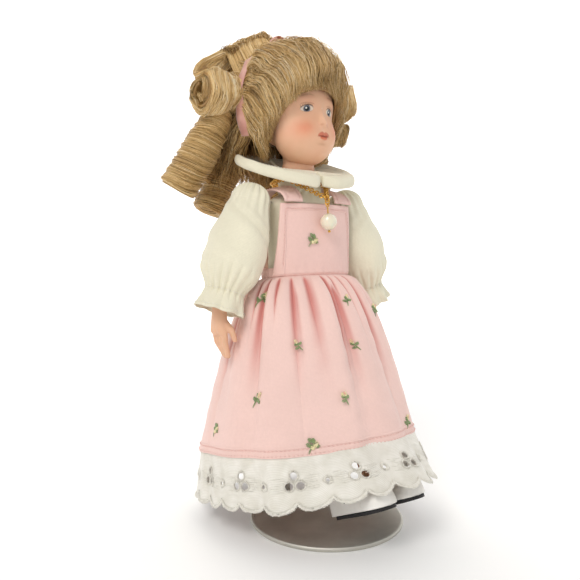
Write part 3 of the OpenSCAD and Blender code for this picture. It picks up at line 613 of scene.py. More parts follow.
def face_points():
    """The head's surface in its own frame, with how far each point faces the front."""
    rows, cols = 260, 420
    q = np.linspace(-1, 1, cols, endpoint=False)
    lon = np.pi * (0.62 * q + 0.38 * q ** 3 * np.abs(q))
    v = np.linspace(0.001, 0.999, rows)
    colat = np.pi * (v + 0.035 * np.sin(2 * np.pi * (v - 0.08)))
    th, ph = np.meshgrid(colat, lon, indexing="ij")
    d = np.stack([np.sin(th) * np.sin(ph), -np.sin(th) * np.cos(ph), np.cos(th)], -1)
    c0 = np.array([0, -2.2, -4.5])

    def hit(centre, semi):
        o = (c0 - np.array(centre)) / np.array(semi)
        e = d / np.array(semi)
        a, b, c = (e * e).sum(-1), (e * o).sum(-1), (o * o).sum() - 1
        return (-b + np.sqrt(np.maximum(b * b - a * c, 0))) / a

    t1 = hit((0, 1, 3.8), (18.7, 18.7, 18.7))
    t2 = hit((0, -4.3, -11.0), (14.9, 12.2, 13.7))
    k = 1.6
    t = np.log(np.exp(t1 / k) + np.exp(t2 / k)) * k - 0.35
    P = c0 + d * t[..., None]
    x, y, z = P[..., 0], P[..., 1], P[..., 2]
    front = smooth_step(2, -6, y)

    def blob(cx, cz, sx, sz, pair=True):
        ax = np.abs(x) if pair else x
        return np.exp(-((ax - cx) / sx) ** 2 - ((z - cz) / sz) ** 2) * front

    add = 0.85 * blob(7.6, -12.6, 4.6, 4.2)
    add += 0.5 * blob(0, -21.5, 4.2, 3.0, False)
    add -= 0.35 * blob(0, -18.6, 3.6, 1.1, False)
    add -= 0.95 * blob(6.6, -3.2, 3.6, 2.6)
    add += 0.55 * blob(7.2, 0.9, 4.4, 1.6)
    add += 0.45 * blob(0, -3.4, 1.6, 4.2, False)
    add += 1.75 * blob(0, -8.7, 1.55, 1.9, False)
    add += 0.8 * blob(0, -6.4, 1.1, 2.4, False)
    add += 0.5 * blob(1.65, -9.3, 0.8, 0.9)
    add -= 0.35 * blob(0, -11.6, 0.7, 1.2, False)
    add += 0.55 * blob(0, -14.6, 3.6, 2.4, False)
    add += 0.55 * blob(0.9, -13.9, 1.15, 0.62)
    add += 0.6 * blob(0, -16.0, 1.5, 0.75, False)
    add -= 0.62 * blob(0, -14.95, 2.3, 0.3, False)
    add -= 0.4 * blob(3.0, -14.8, 0.55, 0.6)
    add += 0.26 * blob(6.75, -3.0, 2.2, 1.45)
    lid = -3.0 + 1.45 * np.sqrt(np.clip(1 - ((np.abs(x) - 6.75) / 2.6) ** 2, 0, 1))
    near = np.abs(np.abs(x) - 6.75) < 2.7
    add += np.where(near, 0.22 * np.exp(-((z - lid - 0.35) / 0.32) ** 2), 0) * front
    P = P + d * (add * 0.98)[..., None]
    return P, front


def face_tone(x, z, front):
    """Painted colours as factors of the skin: blush, lips, eyes and lashes, with painted highlights on the
    nose, lower lip and pupils and painted shade under the lower lip.
    """
    col = np.ones(x.shape + (3,))
    ax = np.abs(x)

    def over(mask, rgb_):
        nonlocal col
        m = np.clip(mask, 0, 1)[..., None]
        col = col * (1 - m) + np.array(rgb_) * m

    def soft(dist, edge):
        return np.clip(0.5 - dist / edge, 0, 1)

    skin = np.array(rgb(232, 186, 154))

    def paint(r, g, b):
        return np.array(rgb(r, g, b)) / skin

    over(0.62 * np.exp(-((ax - 9.2) / 4.6) ** 2 - ((z + 11.8) / 4.0) ** 2) * front, paint(224, 132, 98))
    over(0.22 * np.exp(-((z + 21.5) / 3) ** 2 - (x / 5) ** 2) * front, paint(222, 150, 116))
    over(0.30 * np.exp(-((ax - 6.7) / 3.6) ** 2 - ((z + 0.2) / 1.9) ** 2) * front, paint(206, 148, 118))
    over(0.35 * np.exp(-((ax - 1.5) / 0.7) ** 2 - ((z + 10.1) / 0.45) ** 2) * front, paint(186, 106, 78))
    # painted highlight: a lighter stripe down the bridge of the nose
    over(0.16 * np.exp(-(x / 1.2) ** 2 - ((z + 7.5) / 3.5) ** 2) * front, paint(248, 214, 186))
    # lips: two-peaked upper lip and a round lower one
    bow = -13.05 - 0.45 * np.exp(-(x / 0.55) ** 2) - 0.34 * np.clip(ax - 1.0, 0, 9) ** 1.5
    corner = soft(ax - 3.25, 0.9)
    upper = soft(z - bow, 0.5) * soft(-14.95 + 0.12 * np.cos(x * 2) - z, 0.4) * corner
    lower = soft(z + 14.9, 0.4) * soft(np.hypot(x / 2.15, (z + 15.35) / 1.25) - 1, 0.4)
    over(0.80 * upper, paint(196, 98, 72))
    over(0.88 * lower, paint(214, 108, 74))
    # painted highlight: a lighter spot on the fullest part of the lower lip
    over(0.35 * np.exp(-((x + 0.1) / 0.9) ** 2 - ((z + 16.0) / 0.5) ** 2) * front, paint(236, 148, 110))
    over(0.7 * np.exp(-((z + 14.95) / 0.2) ** 2) * soft(ax - 2.9, 0.8) * front, paint(132, 52, 38))
    # painted shade: a darker band in the crease under the lower lip
    over(0.4 * np.exp(-((z + 18.0) / 0.5) ** 2 - (x / 2.2) ** 2) * front, paint(196, 140, 108))
    # eyes, drawn in millimetres from the centre of each, with u running outward
    u, w = ax - EYE_X, z - EYE_Z
    seen = front > 0.2
    top = 1.55 * np.sqrt(np.clip(1 - (u / 2.75) ** 2, 0, 1)) * (1 - 0.05 * u)
    low = -1.15 * np.sqrt(np.clip(1 - (u / 2.75) ** 2, 0, 1))
    inside = soft(w - top, 0.22) * soft(low - w, 0.22) * soft(np.abs(u) - 2.7, 0.2) * seen
    over(0.92 * inside, paint(226, 214, 200))
    gaze = np.hypot(u, w - 0.05)
    over(inside * soft(gaze - 1.42, 0.22), paint(86, 92, 104))
    over(inside * soft(np.abs(gaze - 1.05) - 0.22, 0.3) * 0.5, paint(128, 142, 160))
    over(inside * soft(gaze - 1.0, 0.25), paint(14, 10, 12))
    over(inside * soft(np.abs(gaze - 1.42) - 0.06, 0.2) * 0.9, paint(24, 20, 24))
    # painted highlight: a white catch-light dot on each pupil, offset the same way on both eyes
    spot = np.hypot(x - np.sign(x) * EYE_X + 0.28, w - 0.38)
    over(soft(spot - 0.36, 0.18) * seen, paint(255, 255, 255) * 1.05)
    line = np.exp(-((w - top - 0.08) / 0.2) ** 2) * soft(np.abs(u) - 2.75, 0.5) * (w > -0.4)
    over(0.95 * line * seen, paint(58, 36, 28))
    line = np.exp(-((w - low + 0.05) / 0.14) ** 2) * soft(np.abs(u) - 2.4, 0.7) * (w < 0.2)
    over(0.45 * line * seen, paint(150, 100, 78))
    fold = 1.55 + 0.75 * np.sqrt(np.clip(1 - (u / 3.2) ** 2, 0, 1))
    line = np.exp(-((w - fold - 0.1) / 0.2) ** 2) * soft(np.abs(u) - 3.0, 0.6)
    over(0.4 * line * seen, paint(168, 108, 82))
    for base in np.linspace(-1.9, 2.5, 9):
        h0 = 1.5 * np.sqrt(max(1 - (base / 2.75) ** 2, 0))
        lean = 0.16 * base
        s = np.clip((w - h0) / 1.25, 0, 1)
        dist = np.abs(u - base - lean * s * 1.3 - 0.12 * s * s * np.sign(base)) - 0.10 * (1 - s)
        over(0.8 * soft(dist, 0.2) * (w > h0 - 0.1) * (w < h0 + 1.25) * seen, paint(70, 44, 34))
    # brow, a few soft strokes
    brow = 3.6 - 0.07 * (u + 0.4) ** 2
    stroke = np.exp(-((w - brow - 2.3) / 0.35) ** 2) * soft(np.abs(u - 0.3) - 2.9, 1.2)
    over(0.35 * stroke * seen, paint(150, 104, 70))
    return col


P, front = face_points()
tone = face_tone(P[..., 0], P[..., 2], front)
head = grid("bisque_head", put(HEAD, P), wrap=True, tone=tone.reshape(-1, 3))
# the ball of the neck and the neck above it
a = np.radians(np.linspace(-72, 60, 40))
BALL_R, BALL_Z = 7.2, 46
profile = [(BALL_R * math.cos(q), BALL_R * math.sin(q)) for q in a]
profile = [(r, z) for r, z in profile if z <= 2.9] + [(6.6, z) for z in np.linspace(3.0, 12, 8)]
w = np.linspace(0, 2 * np.pi, 72, endpoint=False)
neck = grid("bisque_neck", put(BODY, lathe([(r, BALL_Z + z) for r, z in profile], w)), wrap=True)
head = give(tidy(head), FACE, "head", ["head"])
give(tidy(neck), BISQUE, "head")


# ------------------------------------------------------------ sewing

class Cloth:
    """A surface given by fn(a, b) in mm, sampled near a place to lay flat things on it."""

    def __init__(self, fn):
        self.fn = fn

    def at(self, a, b, lift=0.0):
        a, b = np.broadcast_arrays(np.asarray(a, float), np.asarray(b, float))
        e = 1e-3
        p = self.fn(a, b)
        da = (self.fn(a + e, b) - self.fn(a - e, b)) / (2 * e)
        db = (self.fn(a, b + e) - self.fn(a, b - e)) / (2 * e)
        n = unit(np.cross(da, db)) * self.flip
        return p + n * np.asarray(lift)[..., None] if np.ndim(lift) else p + n * lift

    flip = 1.0


def stitches(cloth, a, b, length=1.1, space=0.55, lift=0.1):
    """Running stitches along the line a(i), b(i) of a cloth, as tubes with their ends sunk in it."""
    a, b = np.asarray(a, float), np.asarray(b, float)
    line = cloth.at(a, b)
    d = np.concatenate([[0], np.cumsum(np.linalg.norm(np.diff(line, axis=0), axis=-1))])
    starts = np.arange(0.3, d[-1] - length, length + space)
    steps = np.linspace(0, 1, 5)
    where = starts[:, None] + steps * length
    sa, sb = np.interp(where, d, a), np.interp(where, d, b)
    rise = lift * np.sin(np.pi * steps) * 1.6 - 0.06
    return cloth.at(sa, sb, np.broadcast_to(rise, sa.shape))


def sew(name, groups, r, mat, body, sides=4):
    paths = [p.reshape(-1, p.shape[-2], 3) for p in groups]
    n = max(p.shape[1] for p in paths)
    out = []
    for p in paths:
        if p.shape[1] != n:
            k = np.linspace(0, p.shape[1] - 1, n)
            i = np.clip(k.astype(int), 0, p.shape[1] - 2)
            f = (k - i)[None, :, None]
            p = p[:, i] * (1 - f) + p[:, i + 1] * f
        out.append(p)
    paths = np.concatenate(out)
    end = np.sin(np.linspace(0.18, np.pi - 0.18, n)) ** 0.4
    ob = tubes(paths, r * np.broadcast_to(end, paths.shape[:2]), sides, name=name)
    return give(ob, mat, body)


# ------------------------------------------------------------ skirt

WAIST, HEM = 101.8, 31.8
WAIST_A, WAIST_B = 21.5, 13.4    # half axes of the waist


def gathers(w, t):
    """How far the skirt's cloth stands out from its mean surface."""
    ph = w + 0.10 * wobble(w, 3, 5, 1, 5) + 0.035 * wobble(w, 4, 4, 5, 11) + 0.10 * t * np.sin(w + 1.2)
    size = 1 + 0.45 * wobble(w, 5, 6, 3, 12)
    x = 11 * ph
    soft = smooth_step(0.05, 0.75, t)
    ridge = (1 - soft) * np.abs(np.sin(x / 2)) ** 0.8 + soft * (0.5 - 0.5 * np.cos(x))
    reach = 0.75 + 0.3 * wobble(w, 6, 5, 2, 9)
    deep = 3.4 * smooth_step(0.0, 0.14, t) * (1 - 0.62 * smooth_step(0.3 * reach, 1.0, t))
    y = 27 * ph + 1.3 * wobble(w, 8, 4, 3, 9)
    reach = 0.36 * (1 + 0.7 * wobble(w, 7, 5, 2, 13))
    pinch = np.abs(np.sin(y / 2)) ** 0.6 - 0.68
    mid = 3.6 * np.exp(-(np.maximum(t, 0) / reach) ** 1.5) * (1 - np.exp(-np.maximum(t, 0) / 0.015)) * pinch
    z = 58 * ph + wobble(w, 9, 4, 3, 9)
    fine = 0.5 * np.exp(-t / 0.05) * (0.5 - 0.5 * np.cos(z))
    sway = 1.1 * t * wobble(w, 10, 4, 2, 5)
    crease = 0.22 * smooth_step(0.1, 0.5, t) * np.sin(42 * t + 3 * wobble(w, 11, 4, 2, 6))
    crease = crease * wobble(w, 12, 5, 4, 14)
    return (deep * (ridge - 0.55) * size + mid * size + fine + sway + crease) * smooth_step(-0.02, 0.035, t)


def skirt_at(w, t, out=0.0):
    """Row frame points of the skirt at angle w (front is -pi/2) and depth t from the waist to the hem."""
    z = WAIST * (1 - t) + HEM * t
    y = 14 * (1 - t) + 12.7 * t
    along = (w - np.interp(t, [0.3, 0.525, 0.729, 1.0], [-2.31, -2.028, -1.836, -1.56])) * 40
    sag = 1.5 * np.exp(-((along + 5) / 6.5) ** 2) - 1.5 * np.exp(-((along - 4.5) / 4.5) ** 2)
    g = gathers(w, t) + out + sag * smooth_step(0.22, 0.42, t) * smooth_step(1.0, 0.86, t)
    tt = np.maximum(t, 0)
    g = g - 0.5 * smooth_step(0.0, -0.02, t)
    a = WAIST_A + 23.5 * tt ** 0.55 + g
    b = WAIST_B + 31.6 * tt ** 0.6 + g
    lean = np.tan(np.radians(6 * (1 - t) + 9 * t))
    return np.stack([a * np.cos(w), y + b * np.sin(w), z - b * np.sin(w) * lean], -1)


cols = 1080
w = np.linspace(0, 2 * np.pi, cols, endpoint=False)
t = runs((-0.035, 0.2, 52), (0.2, 0.94, 84), (0.94, 1.0, 22))
W, TT = np.meshgrid(w, t)
hem_fold = 0.28 * smooth_step(0.945, 0.952, TT) - 0.22 * np.exp(-((TT - 0.962) / 0.004) ** 2)
S = skirt_at(W, TT, hem_fold)
G = gathers(W, TT)
near = sum(np.roll(G, k, 1) for k in range(-32, 33, 4)) / 17
# painted shade: darker in the fold valleys near the waist, by how far the gathers sink below their neighbours
painted_fold_shade = 1 - (1 - smooth_step(-1.1, 0.2, G - near)) * smooth_step(0.75, 0.1, TT)
skirt = grid("skirt_cloth", S, wrap=True, size=(330, 74), tone=painted_fold_shade.reshape(-1))
thick(skirt, 0.55)
give(tidy(skirt), GATHERED, "doll", ["skirt"])
SKIRT = Cloth(skirt_at)
SKIRT.flip = -1.0
wl = np.linspace(0, 2 * np.pi, 1500)
sew("hem_stitching", [stitches(SKIRT, wl, np.full_like(wl, v), lift=0.42) for v in (0.962, 0.99)],
    0.13, PINK_THREAD, "doll")


# ------------------------------------------------------------ eyelet trim

LACE_W, LOBE = 305.0, 305.0 / 26


def lace_at(s, v):
    """Row frame points of the trim, s mm round it and v mm down from the hem."""
    w = s / LACE_W * 2 * np.pi
    q = np.clip(v / 21, 0, 1.2)
    f = np.maximum(-np.sin(w), 0)
    g = gathers(w, np.ones_like(w)) * (1 + 0.15 * q)
    flute = q * (1.15 * wobble(w, 21, 8, 9, 26) + 0.7 * wobble(w, 22, 6, 4, 9)) * (1 - 0.45 * f ** 2)
    ripple = 0.12 * np.sin(v * 1.9 + 2 * wobble(w, 23, 5, 5, 20)) * wobble(w, 24, 6, 8, 30)
    a = 44.55 + q + g + flute + ripple
    b = 44.55 + q * (1 + 14 * f ** 1.5) + g + flute + ripple
    drop = 21 * q - 7.9 * q * f ** 3
    lean = math.tan(math.radians(9))
    return np.stack([a * np.cos(w), 12.7 + b * np.sin(w), 31.8 - 45 * np.sin(w) * lean + 1.2 - drop], -1)


def lobe_depth(s):
    """Length of the trim at s: rounded scallops with cusps under each motif."""
    x = (s / LOBE) % 1.0
    return 18.0 + 3.9 * np.sqrt(np.clip(1 - (2 * x - 1) ** 2, 0, 1)) ** 1.15


HOLES = []
for k in range(26):
    s = k * LOBE
    if k % 2 == 0:
        HOLES += [(s, 8.2, 1.45), (s - 2.05, 12.1, 1.5), (s + 2.05, 12.1, 1.5)]
    else:
        HOLES += [(s, 11.8, 0.85)]
cols, rows = 1220, 72
s = np.linspace(0, LACE_W, cols, endpoint=False)
q = np.linspace(0, 1, rows)
Sg = np.broadcast_to(s, (rows, cols)).copy()
Vg = q[:, None] * lobe_depth(s)[None, :]
inside = np.zeros((rows, cols), bool)
for hs, hv, hr in HOLES:
    ds = (Sg - hs + LACE_W / 2) % LACE_W - LACE_W / 2
    dv = Vg - hv
    d = np.hypot(ds, dv)
    inside |= d < hr - 0.14
    snap = (d >= hr - 0.14) & (d < hr + 0.13)
    k = np.where(snap, hr / np.maximum(d, 1e-6), 1)
    Sg, Vg = hs + ds * k + (Sg - hs - ds), hv + dv * k
L = lace_at(Sg, Vg)
corner = inside | np.roll(inside, -1, 1)
keep = ~(corner[:-1] | corner[1:]).reshape(-1)
lace = tidy(grid("eyelet_trim", L, wrap=True, size=(LACE_W, 21), keep=keep))
thick(lace, 0.32)
give(lace, LACE, "doll", ["lace_trim"])
LACE_CLOTH = Cloth(lace_at)
LACE_CLOTH.flip = -1.0
groups = []
steps = np.linspace(0, 1, 5)
for hs, hv, hr in HOLES:
    petals = hr < 1
    n = 26 if not petals else 22
    a = np.linspace(0, 2 * np.pi, n, endpoint=False)[:, None] + RNG.uniform(-0.05, 0.05, (n, 1))
    reach = 0.75 + 0.5 * np.abs(np.sin(a * 2.5)) ** 0.7 if petals else 0.72
    far = reach + RNG.uniform(-0.06, 0.12, (n, 1))
    d = hr - 0.12 + steps * far
    rise = 0.1 + 0.3 * np.sin(np.pi * steps) + 0 * d
    groups.append(LACE_CLOTH.at(hs + d * np.cos(a), hv + d * np.sin(a), rise))
edge_s = np.arange(0, LACE_W, 0.36)
edge_s = edge_s + RNG.uniform(-0.1, 0.1, len(edge_s))
depth = lobe_depth(edge_s)
slope = (lobe_depth(edge_s + 0.05) - lobe_depth(edge_s - 0.05)) / 0.1
nrm = np.stack([-slope, np.ones_like(slope)], -1)
nrm = nrm / np.linalg.norm(nrm, axis=-1, keepdims=True)
for lean, out in ((0.25, 0.42), (-0.25, 0.3)):
    far = out + RNG.uniform(-0.12, 0.3, (len(edge_s), 1))
    d = -1.0 + steps * (1.0 + far)
    rise = 0.08 + 0.32 * np.sin(np.pi * steps) + 0 * d
    round_s = edge_s[:, None] + nrm[:, :1] * d + lean * steps
    groups.append(LACE_CLOTH.at(round_s, depth[:, None] + nrm[:, 1:] * d, rise))
sew("eyelet_embroidery", groups, 0.2, WHITE_THREAD, "doll")
# the rolled cord under the stitches of the scallops
edge_s = np.linspace(0, LACE_W, 1600, endpoint=False)
cord = LACE_CLOTH.at(edge_s, lobe_depth(edge_s) - 0.1, 0.12)[None]
give(tubes(cord, 0.34, 6, name="scallop_cord", closed=True), WHITE_THREAD, "doll")
# fine drawn-thread dashes between the motifs
groups = []
for k in range(26):
    for row in range(7):
        v = 9.0 + row * 0.85
        for _ in range(2):
            c = (k + RNG.uniform(0.3, 0.7)) * LOBE
            half = RNG.uniform(0.8, 1.9)
            dash = c + np.linspace(-half, half, 5)
            groups.append(LACE_CLOTH.at(dash, v + RNG.uniform(-0.1, 0.1), 0.08 + 0 * steps)[None])
sew("drawn_threads", groups, 0.1, WHITE_THREAD, "doll", sides=3)


# ------------------------------------------------------------ pinafore top

def bib_at(u, v, out=0.0):
    """Row frame points of the bib, u from -1 to 1 across and v from 0 to 1 up."""
    x = u * (21.2 - 1.7 * v)
    low = 13.5 * np.sqrt(np.maximum(1 - (x / 22.4) ** 2, 0))
    high = 12.2 - 2.7 * u * u
    puff = 0.35 * np.sin(np.pi * v) * (1 - u * u) + 0.14 * np.sin(5 * u + 3 * v) * np.sin(np.pi * v)
    y = -((1 - v) * low + v * high) - out - puff
    return put(BODY, np.stack([x, y, 1.8 + v * 26.7], -1))


u = runs((-1, -0.82, 16), (-0.82, 0.82, 61), (0.82, 1, 16))
v = runs((-0.135, -0.09, 8), (-0.09, 0.84, 56), (0.84, 1, 22))
U, V = np.meshgrid(u, v)
edge = np.minimum((1 - np.abs(U)) * 20.3, (1 - V) * 26.7)
fold = 0.42 * smooth_step(3.2, 2.8, edge) - 0.26 * np.exp(-((edge - 2.35) / 0.22) ** 2)
fold -= 0.45 * smooth_step(0.5, 0.0, edge) ** 2
fold -= 0.55 * smooth_step(-0.10, -0.135, V) - 0.12 * np.sin(34 * U) * smooth_step(0.12, -0.1, V)
B = bib_at(U, V, 0.45 + fold)
bib = grid("bib_cloth", B, size=(42, 28))
thick(bib, 0.75, -1.0)
give(tidy(bib), PINK, "doll", ["bib"])
BIB = Cloth(lambda a, b: bib_at(a, b, 0.75))
BIB.flip = 1.0
line_u, line_v = np.linspace(-0.885, 0.885, 200), np.full(200, 1 - 2.35 / 26.7)
side_v = np.linspace(0.03, 1 - 2.35 / 26.7, 160)
groups = [stitches(BIB, line_u, line_v, lift=0.25)]
groups += [stitches(BIB, np.full(160, s * 0.885), side_v, lift=0.25) for s in (-1, 1)]
sew("bib_stitching", groups, 0.13, PINK_THREAD, "doll")


def strap_at(c, x, out=0.0):
    """Row frame points of the left strap; c is 0 at the bib, 18 over the shoulder, 24 at the waist behind."""
    rise = 8.4 - 2.2 * (x - 9) / 10
    w = np.radians(7 + 173 * np.minimum(c, 18) / 18)
    down = np.maximum(c - 18, 0) / 6
    y = -(12.1 + out) * np.cos(w) + 0.3 * down
    z = 28.8 + (rise + out) * np.sin(w) - 26.3 * down - np.where(c <= 0, 0.8, 0)
    return np.stack([x, y, z], -1)


for side, name in ((RIGHT, "right"), (LEFT, "left")):
    c = np.concatenate([np.linspace(0, 18, 90)[:-1], np.linspace(18, 24, 30)])
    x = np.linspace(9, 19.05, 34)
    X, C = np.meshgrid(x, c)
    edge = np.minimum(X - 9, 19.05 - X)
    lift = 0.35 + 0.4 * smooth_step(0, 0.5, edge) - 0.22 * np.exp(-((edge - 1.9) / 0.2) ** 2)
    lift += 0.12 * np.sin(C * 0.9 + X) * smooth_step(0, 2, edge)
    Q = strap_at(C, X, lift)
    Q[..., 0] *= side
    strap = grid("strap_cloth_" + name, put(BODY, Q), size=(10, 76))
    thick(strap, 0.8, -1.0)
    give(tidy(strap), PINK, "doll", ["strap_" + name])
    face = Cloth(lambda a, b, side=side: put(BODY, strap_at(a, b, 0.55) * np.array([side, 1, 1])))
    face.flip = -1.0 if side > 0 else 1.0
    cc = np.linspace(0.3, 23.6, 300)
    sew("strap_stitching_" + name, [stitches(face, cc, np.full(300, 9 + e), lift=0.3) for e in (1.9, 8.15)],
        0.13, PINK_THREAD, "doll")

# waistband with a piped lower edge, over the gathers
w = np.linspace(0, 2 * np.pi, 360, endpoint=False)
prof = [(-1.9, -0.5), (-2.0, -0.1), (-1.7, 0.2), (-1.0, 0.3), (-0.2, 0.22), (0.8, 0.25), (1.5, 0.28),
        (1.8, 0.1), (1.9, -0.4)]
pucker = 0.10 * np.sin(58 * w + wobble(w, 9, 4, 3, 9))
band = []
for z, o in prof[::-1]:
    out = o + pucker * (z < 0)
    band.append(oval(WAIST_A + out, WAIST_B + out, z, w))
wb = grid("waistband_cloth", put(BODY, np.array(band)), wrap=True, size=(112, 4))
thick(wb, 0.5)
give(tidy(wb), PINK, "doll", ["waistband"])
BAND = Cloth(lambda a, b: put(BODY, np.stack([(WAIST_A + 0.25) * np.cos(a), (WAIST_B + 0.25) * np.sin(a),
                                              b], -1)))
BAND.flip = 1.0
wl = np.linspace(0, 2 * np.pi, 600)
sew("waist_stitching", [stitches(BAND, wl, np.full_like(wl, 1.1), lift=0.15)], 0.12, PINK_THREAD, "doll")


# ------------------------------------------------------------ hair

def catmull(C, n):
    """Smooth curves through control points (k, m, 3), n samples each."""
    C = np.asarray(C, float)
    m = C.shape[1]
    E = np.concatenate([2 * C[:, :1] - C[:, 1:2], C, 2 * C[:, -1:] - C[:, -2:-1]], 1)
    t = np.linspace(0, m - 1, n)
    i = np.clip(t.astype(int), 0, m - 2)
    f = (t - i)[None, :, None]
    p0, p1, p2, p3 = E[:, i], E[:, i + 1], E[:, i + 2], E[:, i + 3]
    return 0.5 * (2 * p1 + (p2 - p0) * f + (2 * p0 - 5 * p1 + 4 * p2 - p3) * f ** 2
                  + (3 * p1 - p0 - 3 * p2 + p3) * f ** 3)


def table(rows, theta):
    """Control points interpolated over the angle round the headband; x is mirrored for negative angles."""
    keys = np.array([r[0] for r in rows], float)
    ctrl = np.array([r[1] for r in rows], float)
    a = np.abs(theta)
    out = np.stack([[np.interp(a, keys, ctrl[:, j, c]) for c in range(3)] for j in range(ctrl.shape[1])])
    out = np.moveaxis(out, -1, 0)
    out[..., 0] *= np.where(theta < 0, -1, 1)[:, None]
    return out


FRONT = [
    (0, [(0, 1.0, 29.0), (0, -7.0, 31.2), (0, -16.8, 27.0), (0, -22.8, 16.5), (0, -21.6, 4.6)]),
    (20, [(9.4, 1.2, 27.4), (9.8, -7.2, 29.8), (9.2, -16.2, 25.2), (7.8, -21.6, 15.0), (6.4, -20.6, 4.0)]),
    (40, [(17.0, 2.2, 23.8), (17.8, -6.2, 25.8), (16.8, -14.2, 21.2), (14.0, -19.0, 11.8),
          (11.4, -17.9, 2.2)]),
    (55, [(21.2, 3.2, 20.0), (22.4, -4.4, 22.0), (21.0, -11.2, 16.4), (17.6, -15.2, 7.4),
          (14.6, -13.8, -0.2)]),
    (70, [(23.8, 4.3, 14.0), (25.0, -1.8, 13.8), (23.4, -7.2, 8.0), (20.2, -9.6, 0.2), (17.2, -7.6, -6.8)]),
    (85, [(24.6, 5.6, 7.5), (25.6, 1.2, 5.2), (24.0, -3.2, -1.2), (21.2, -3.8, -7.8), (18.2, -1.6, -13.8)]),
    (100, [(23.6, 7.0, 1.1), (24.2, 3.8, -2.4), (22.4, 0.4, -8.4), (19.6, 1.2, -13.8), (16.4, 4.2, -17.6)]),
    (118, [(20.8, 8.6, -5.8), (21.2, 6.8, -9.4), (19.4, 4.8, -14.2), (16.8, 6.2, -18.0), (14.0, 9.2, -20.0)]),
]
CROWN = [
    (0, [(0, 1.0, 29.0), (0, 9.0, 33.0), (0, 22.0, 31.5), (0, 31.0, 20.0), (0, 33.5, 4.0)]),
    (25, [(11.6, 1.4, 26.8), (12.5, 9.5, 30.5), (12.0, 22.0, 28.0), (11.5, 30.5, 17.0), (11.0, 33.0, 2.0)]),
    (50, [(19.9, 2.8, 21.6), (22.0, 10.5, 24.0), (20.5, 21.0, 21.0), (18.5, 28.5, 10.5), (16.5, 31.5, -3.0)]),
    (80, [(24.4, 5.2, 9.4), (25.0, 11.0, 8.0), (23.0, 20.0, 5.0), (20.0, 27.5, -2.5), (16.0, 31.0, -12.0)]),
    (105, [(22.8, 7.5, -0.8), (23.0, 12.5, -4.5), (20.5, 20.5, -8.5), (17.0, 27.0, -14.5),
          (12.0, 30.5, -21.0)]),
    (125, [(19.4, 9.4, -8.4), (19.0, 14.5, -12.0), (16.5, 20.5, -16.0), (12.5, 25.5, -20.5),
          (7.0, 28.0, -25.0)]),
]
STRANDS = []


CENTRE = np.array([0, 3.0, 4.0])    # of the head, in its own frame


def tousle(P, amount):
    """Bends neighbouring strands together by a smooth field, so that locks wave, part and cross."""
    rng = np.random.default_rng(5)
    move = np.zeros_like(P)
    for size, share in ((17.0, 0.55), (9.0, 0.20)):
        for _ in range(5):
            k = unit(rng.normal(0, 1, 3)) * 2 * np.pi / size
            move += share * rng.normal(0, 1, 3) * np.sin(P @ k + rng.uniform(0, 2 * np.pi))[..., None]
    out = unit(P - CENTRE)
    move -= 0.5 * (move * out).sum(-1, keepdims=True) * out
    ramp = np.minimum(np.linspace(0, 1, P.shape[1]) / 0.2, 1)
    return P + amount * move * ramp[None, :, None]


def add_strands(paths, radius, tone, taper=1.0, wild=0.5):
    """Keeps strands in the head's frame; they all become one mesh. tone is one value a strand."""
    n = paths.shape[1]
    paths = tousle(paths, wild)
    s = np.linspace(0, 1, n)
    r = radius * (1 - taper * s ** 3 * 0.85) * (0.55 + 0.45 * np.minimum(s / 0.08, 1))
    r = np.broadcast_to(r, paths.shape[:2]) * RNG.uniform(0.75, 1.25, (len(paths), 1))
    STRANDS.append((paths, r, np.clip(tone, 0, 1)))


def clumpy(x, seed, spread=0.22, mean=0.55):
    """A strand's tone: lighter and darker locks plus its own scatter."""
    locks = mean + 0.16 * wobble(x, seed, 8, 5, 40) + 0.08 * wobble(x, seed + 1, 6, 1, 6)
    return locks + RNG.normal(0, spread, len(x))


def strands_from(rows, count, lo, hi, seed, lift=0.0, jitter=0.8, mean=0.55, radius=0.17):
    th = RNG.uniform(lo, hi, count)
    lock = np.round(th / 5.5 + RNG.uniform(-0.35, 0.35, count)) * 5.5
    C = table(rows, th)
    D = table(rows, lock)
    pull = np.linspace(0, 0.6, C.shape[1])[None, :, None]
    C = C * (1 - pull) + D * pull
    grow = np.sin(np.linspace(0.25, np.pi * 0.85, C.shape[1]))[None, :, None]
    C = CENTRE + (C - CENTRE) * (1 + grow * (RNG.uniform(-0.055, 0.045, (count, 1, 1)) + lift))
    C = C + RNG.normal(0, jitter * 1.15, C.shape) * np.linspace(0.3, 1.0, C.shape[1])[None, :, None]
    add_strands(catmull(C, 15), radius, clumpy(np.radians(th), seed, mean=mean), wild=1.0)


def base_shell(name, rows, lo, hi, shrink):
    n, m = 60, 26
    th = np.linspace(lo, hi, n)
    C = catmull(table(rows, th), m)
    C = CENTRE + (C - CENTRE) * shrink
    C = C + 0.35 * wobble(np.radians(th) * 3, 31, 7, 4, 30)[:, None, None] * unit(C - CENTRE)
    # a dark tone: painted shade that shows between the strands above it
    ob = grid(name, put(HEAD, np.moveaxis(C, 1, 0)), tone=np.full(n * m, 0.2))
    thick(ob, 1.0)
    return tidy(ob)


give(base_shell("hair_under_front", FRONT, -119, 119, 0.935), HAIR, "head", ["wig_bangs"])
give(base_shell("hair_under_crown", CROWN, -126, 126, 0.93), HAIR, "head", ["wig_crown"])
strands_from(FRONT, 2300, -119, 119, 41, mean=0.50)
strands_from(FRONT, 700, -119, 119, 43, lift=0.03, jitter=1.1, mean=0.62, radius=0.14)
strands_from(CROWN, 1500, -126, 126, 47, mean=0.42)

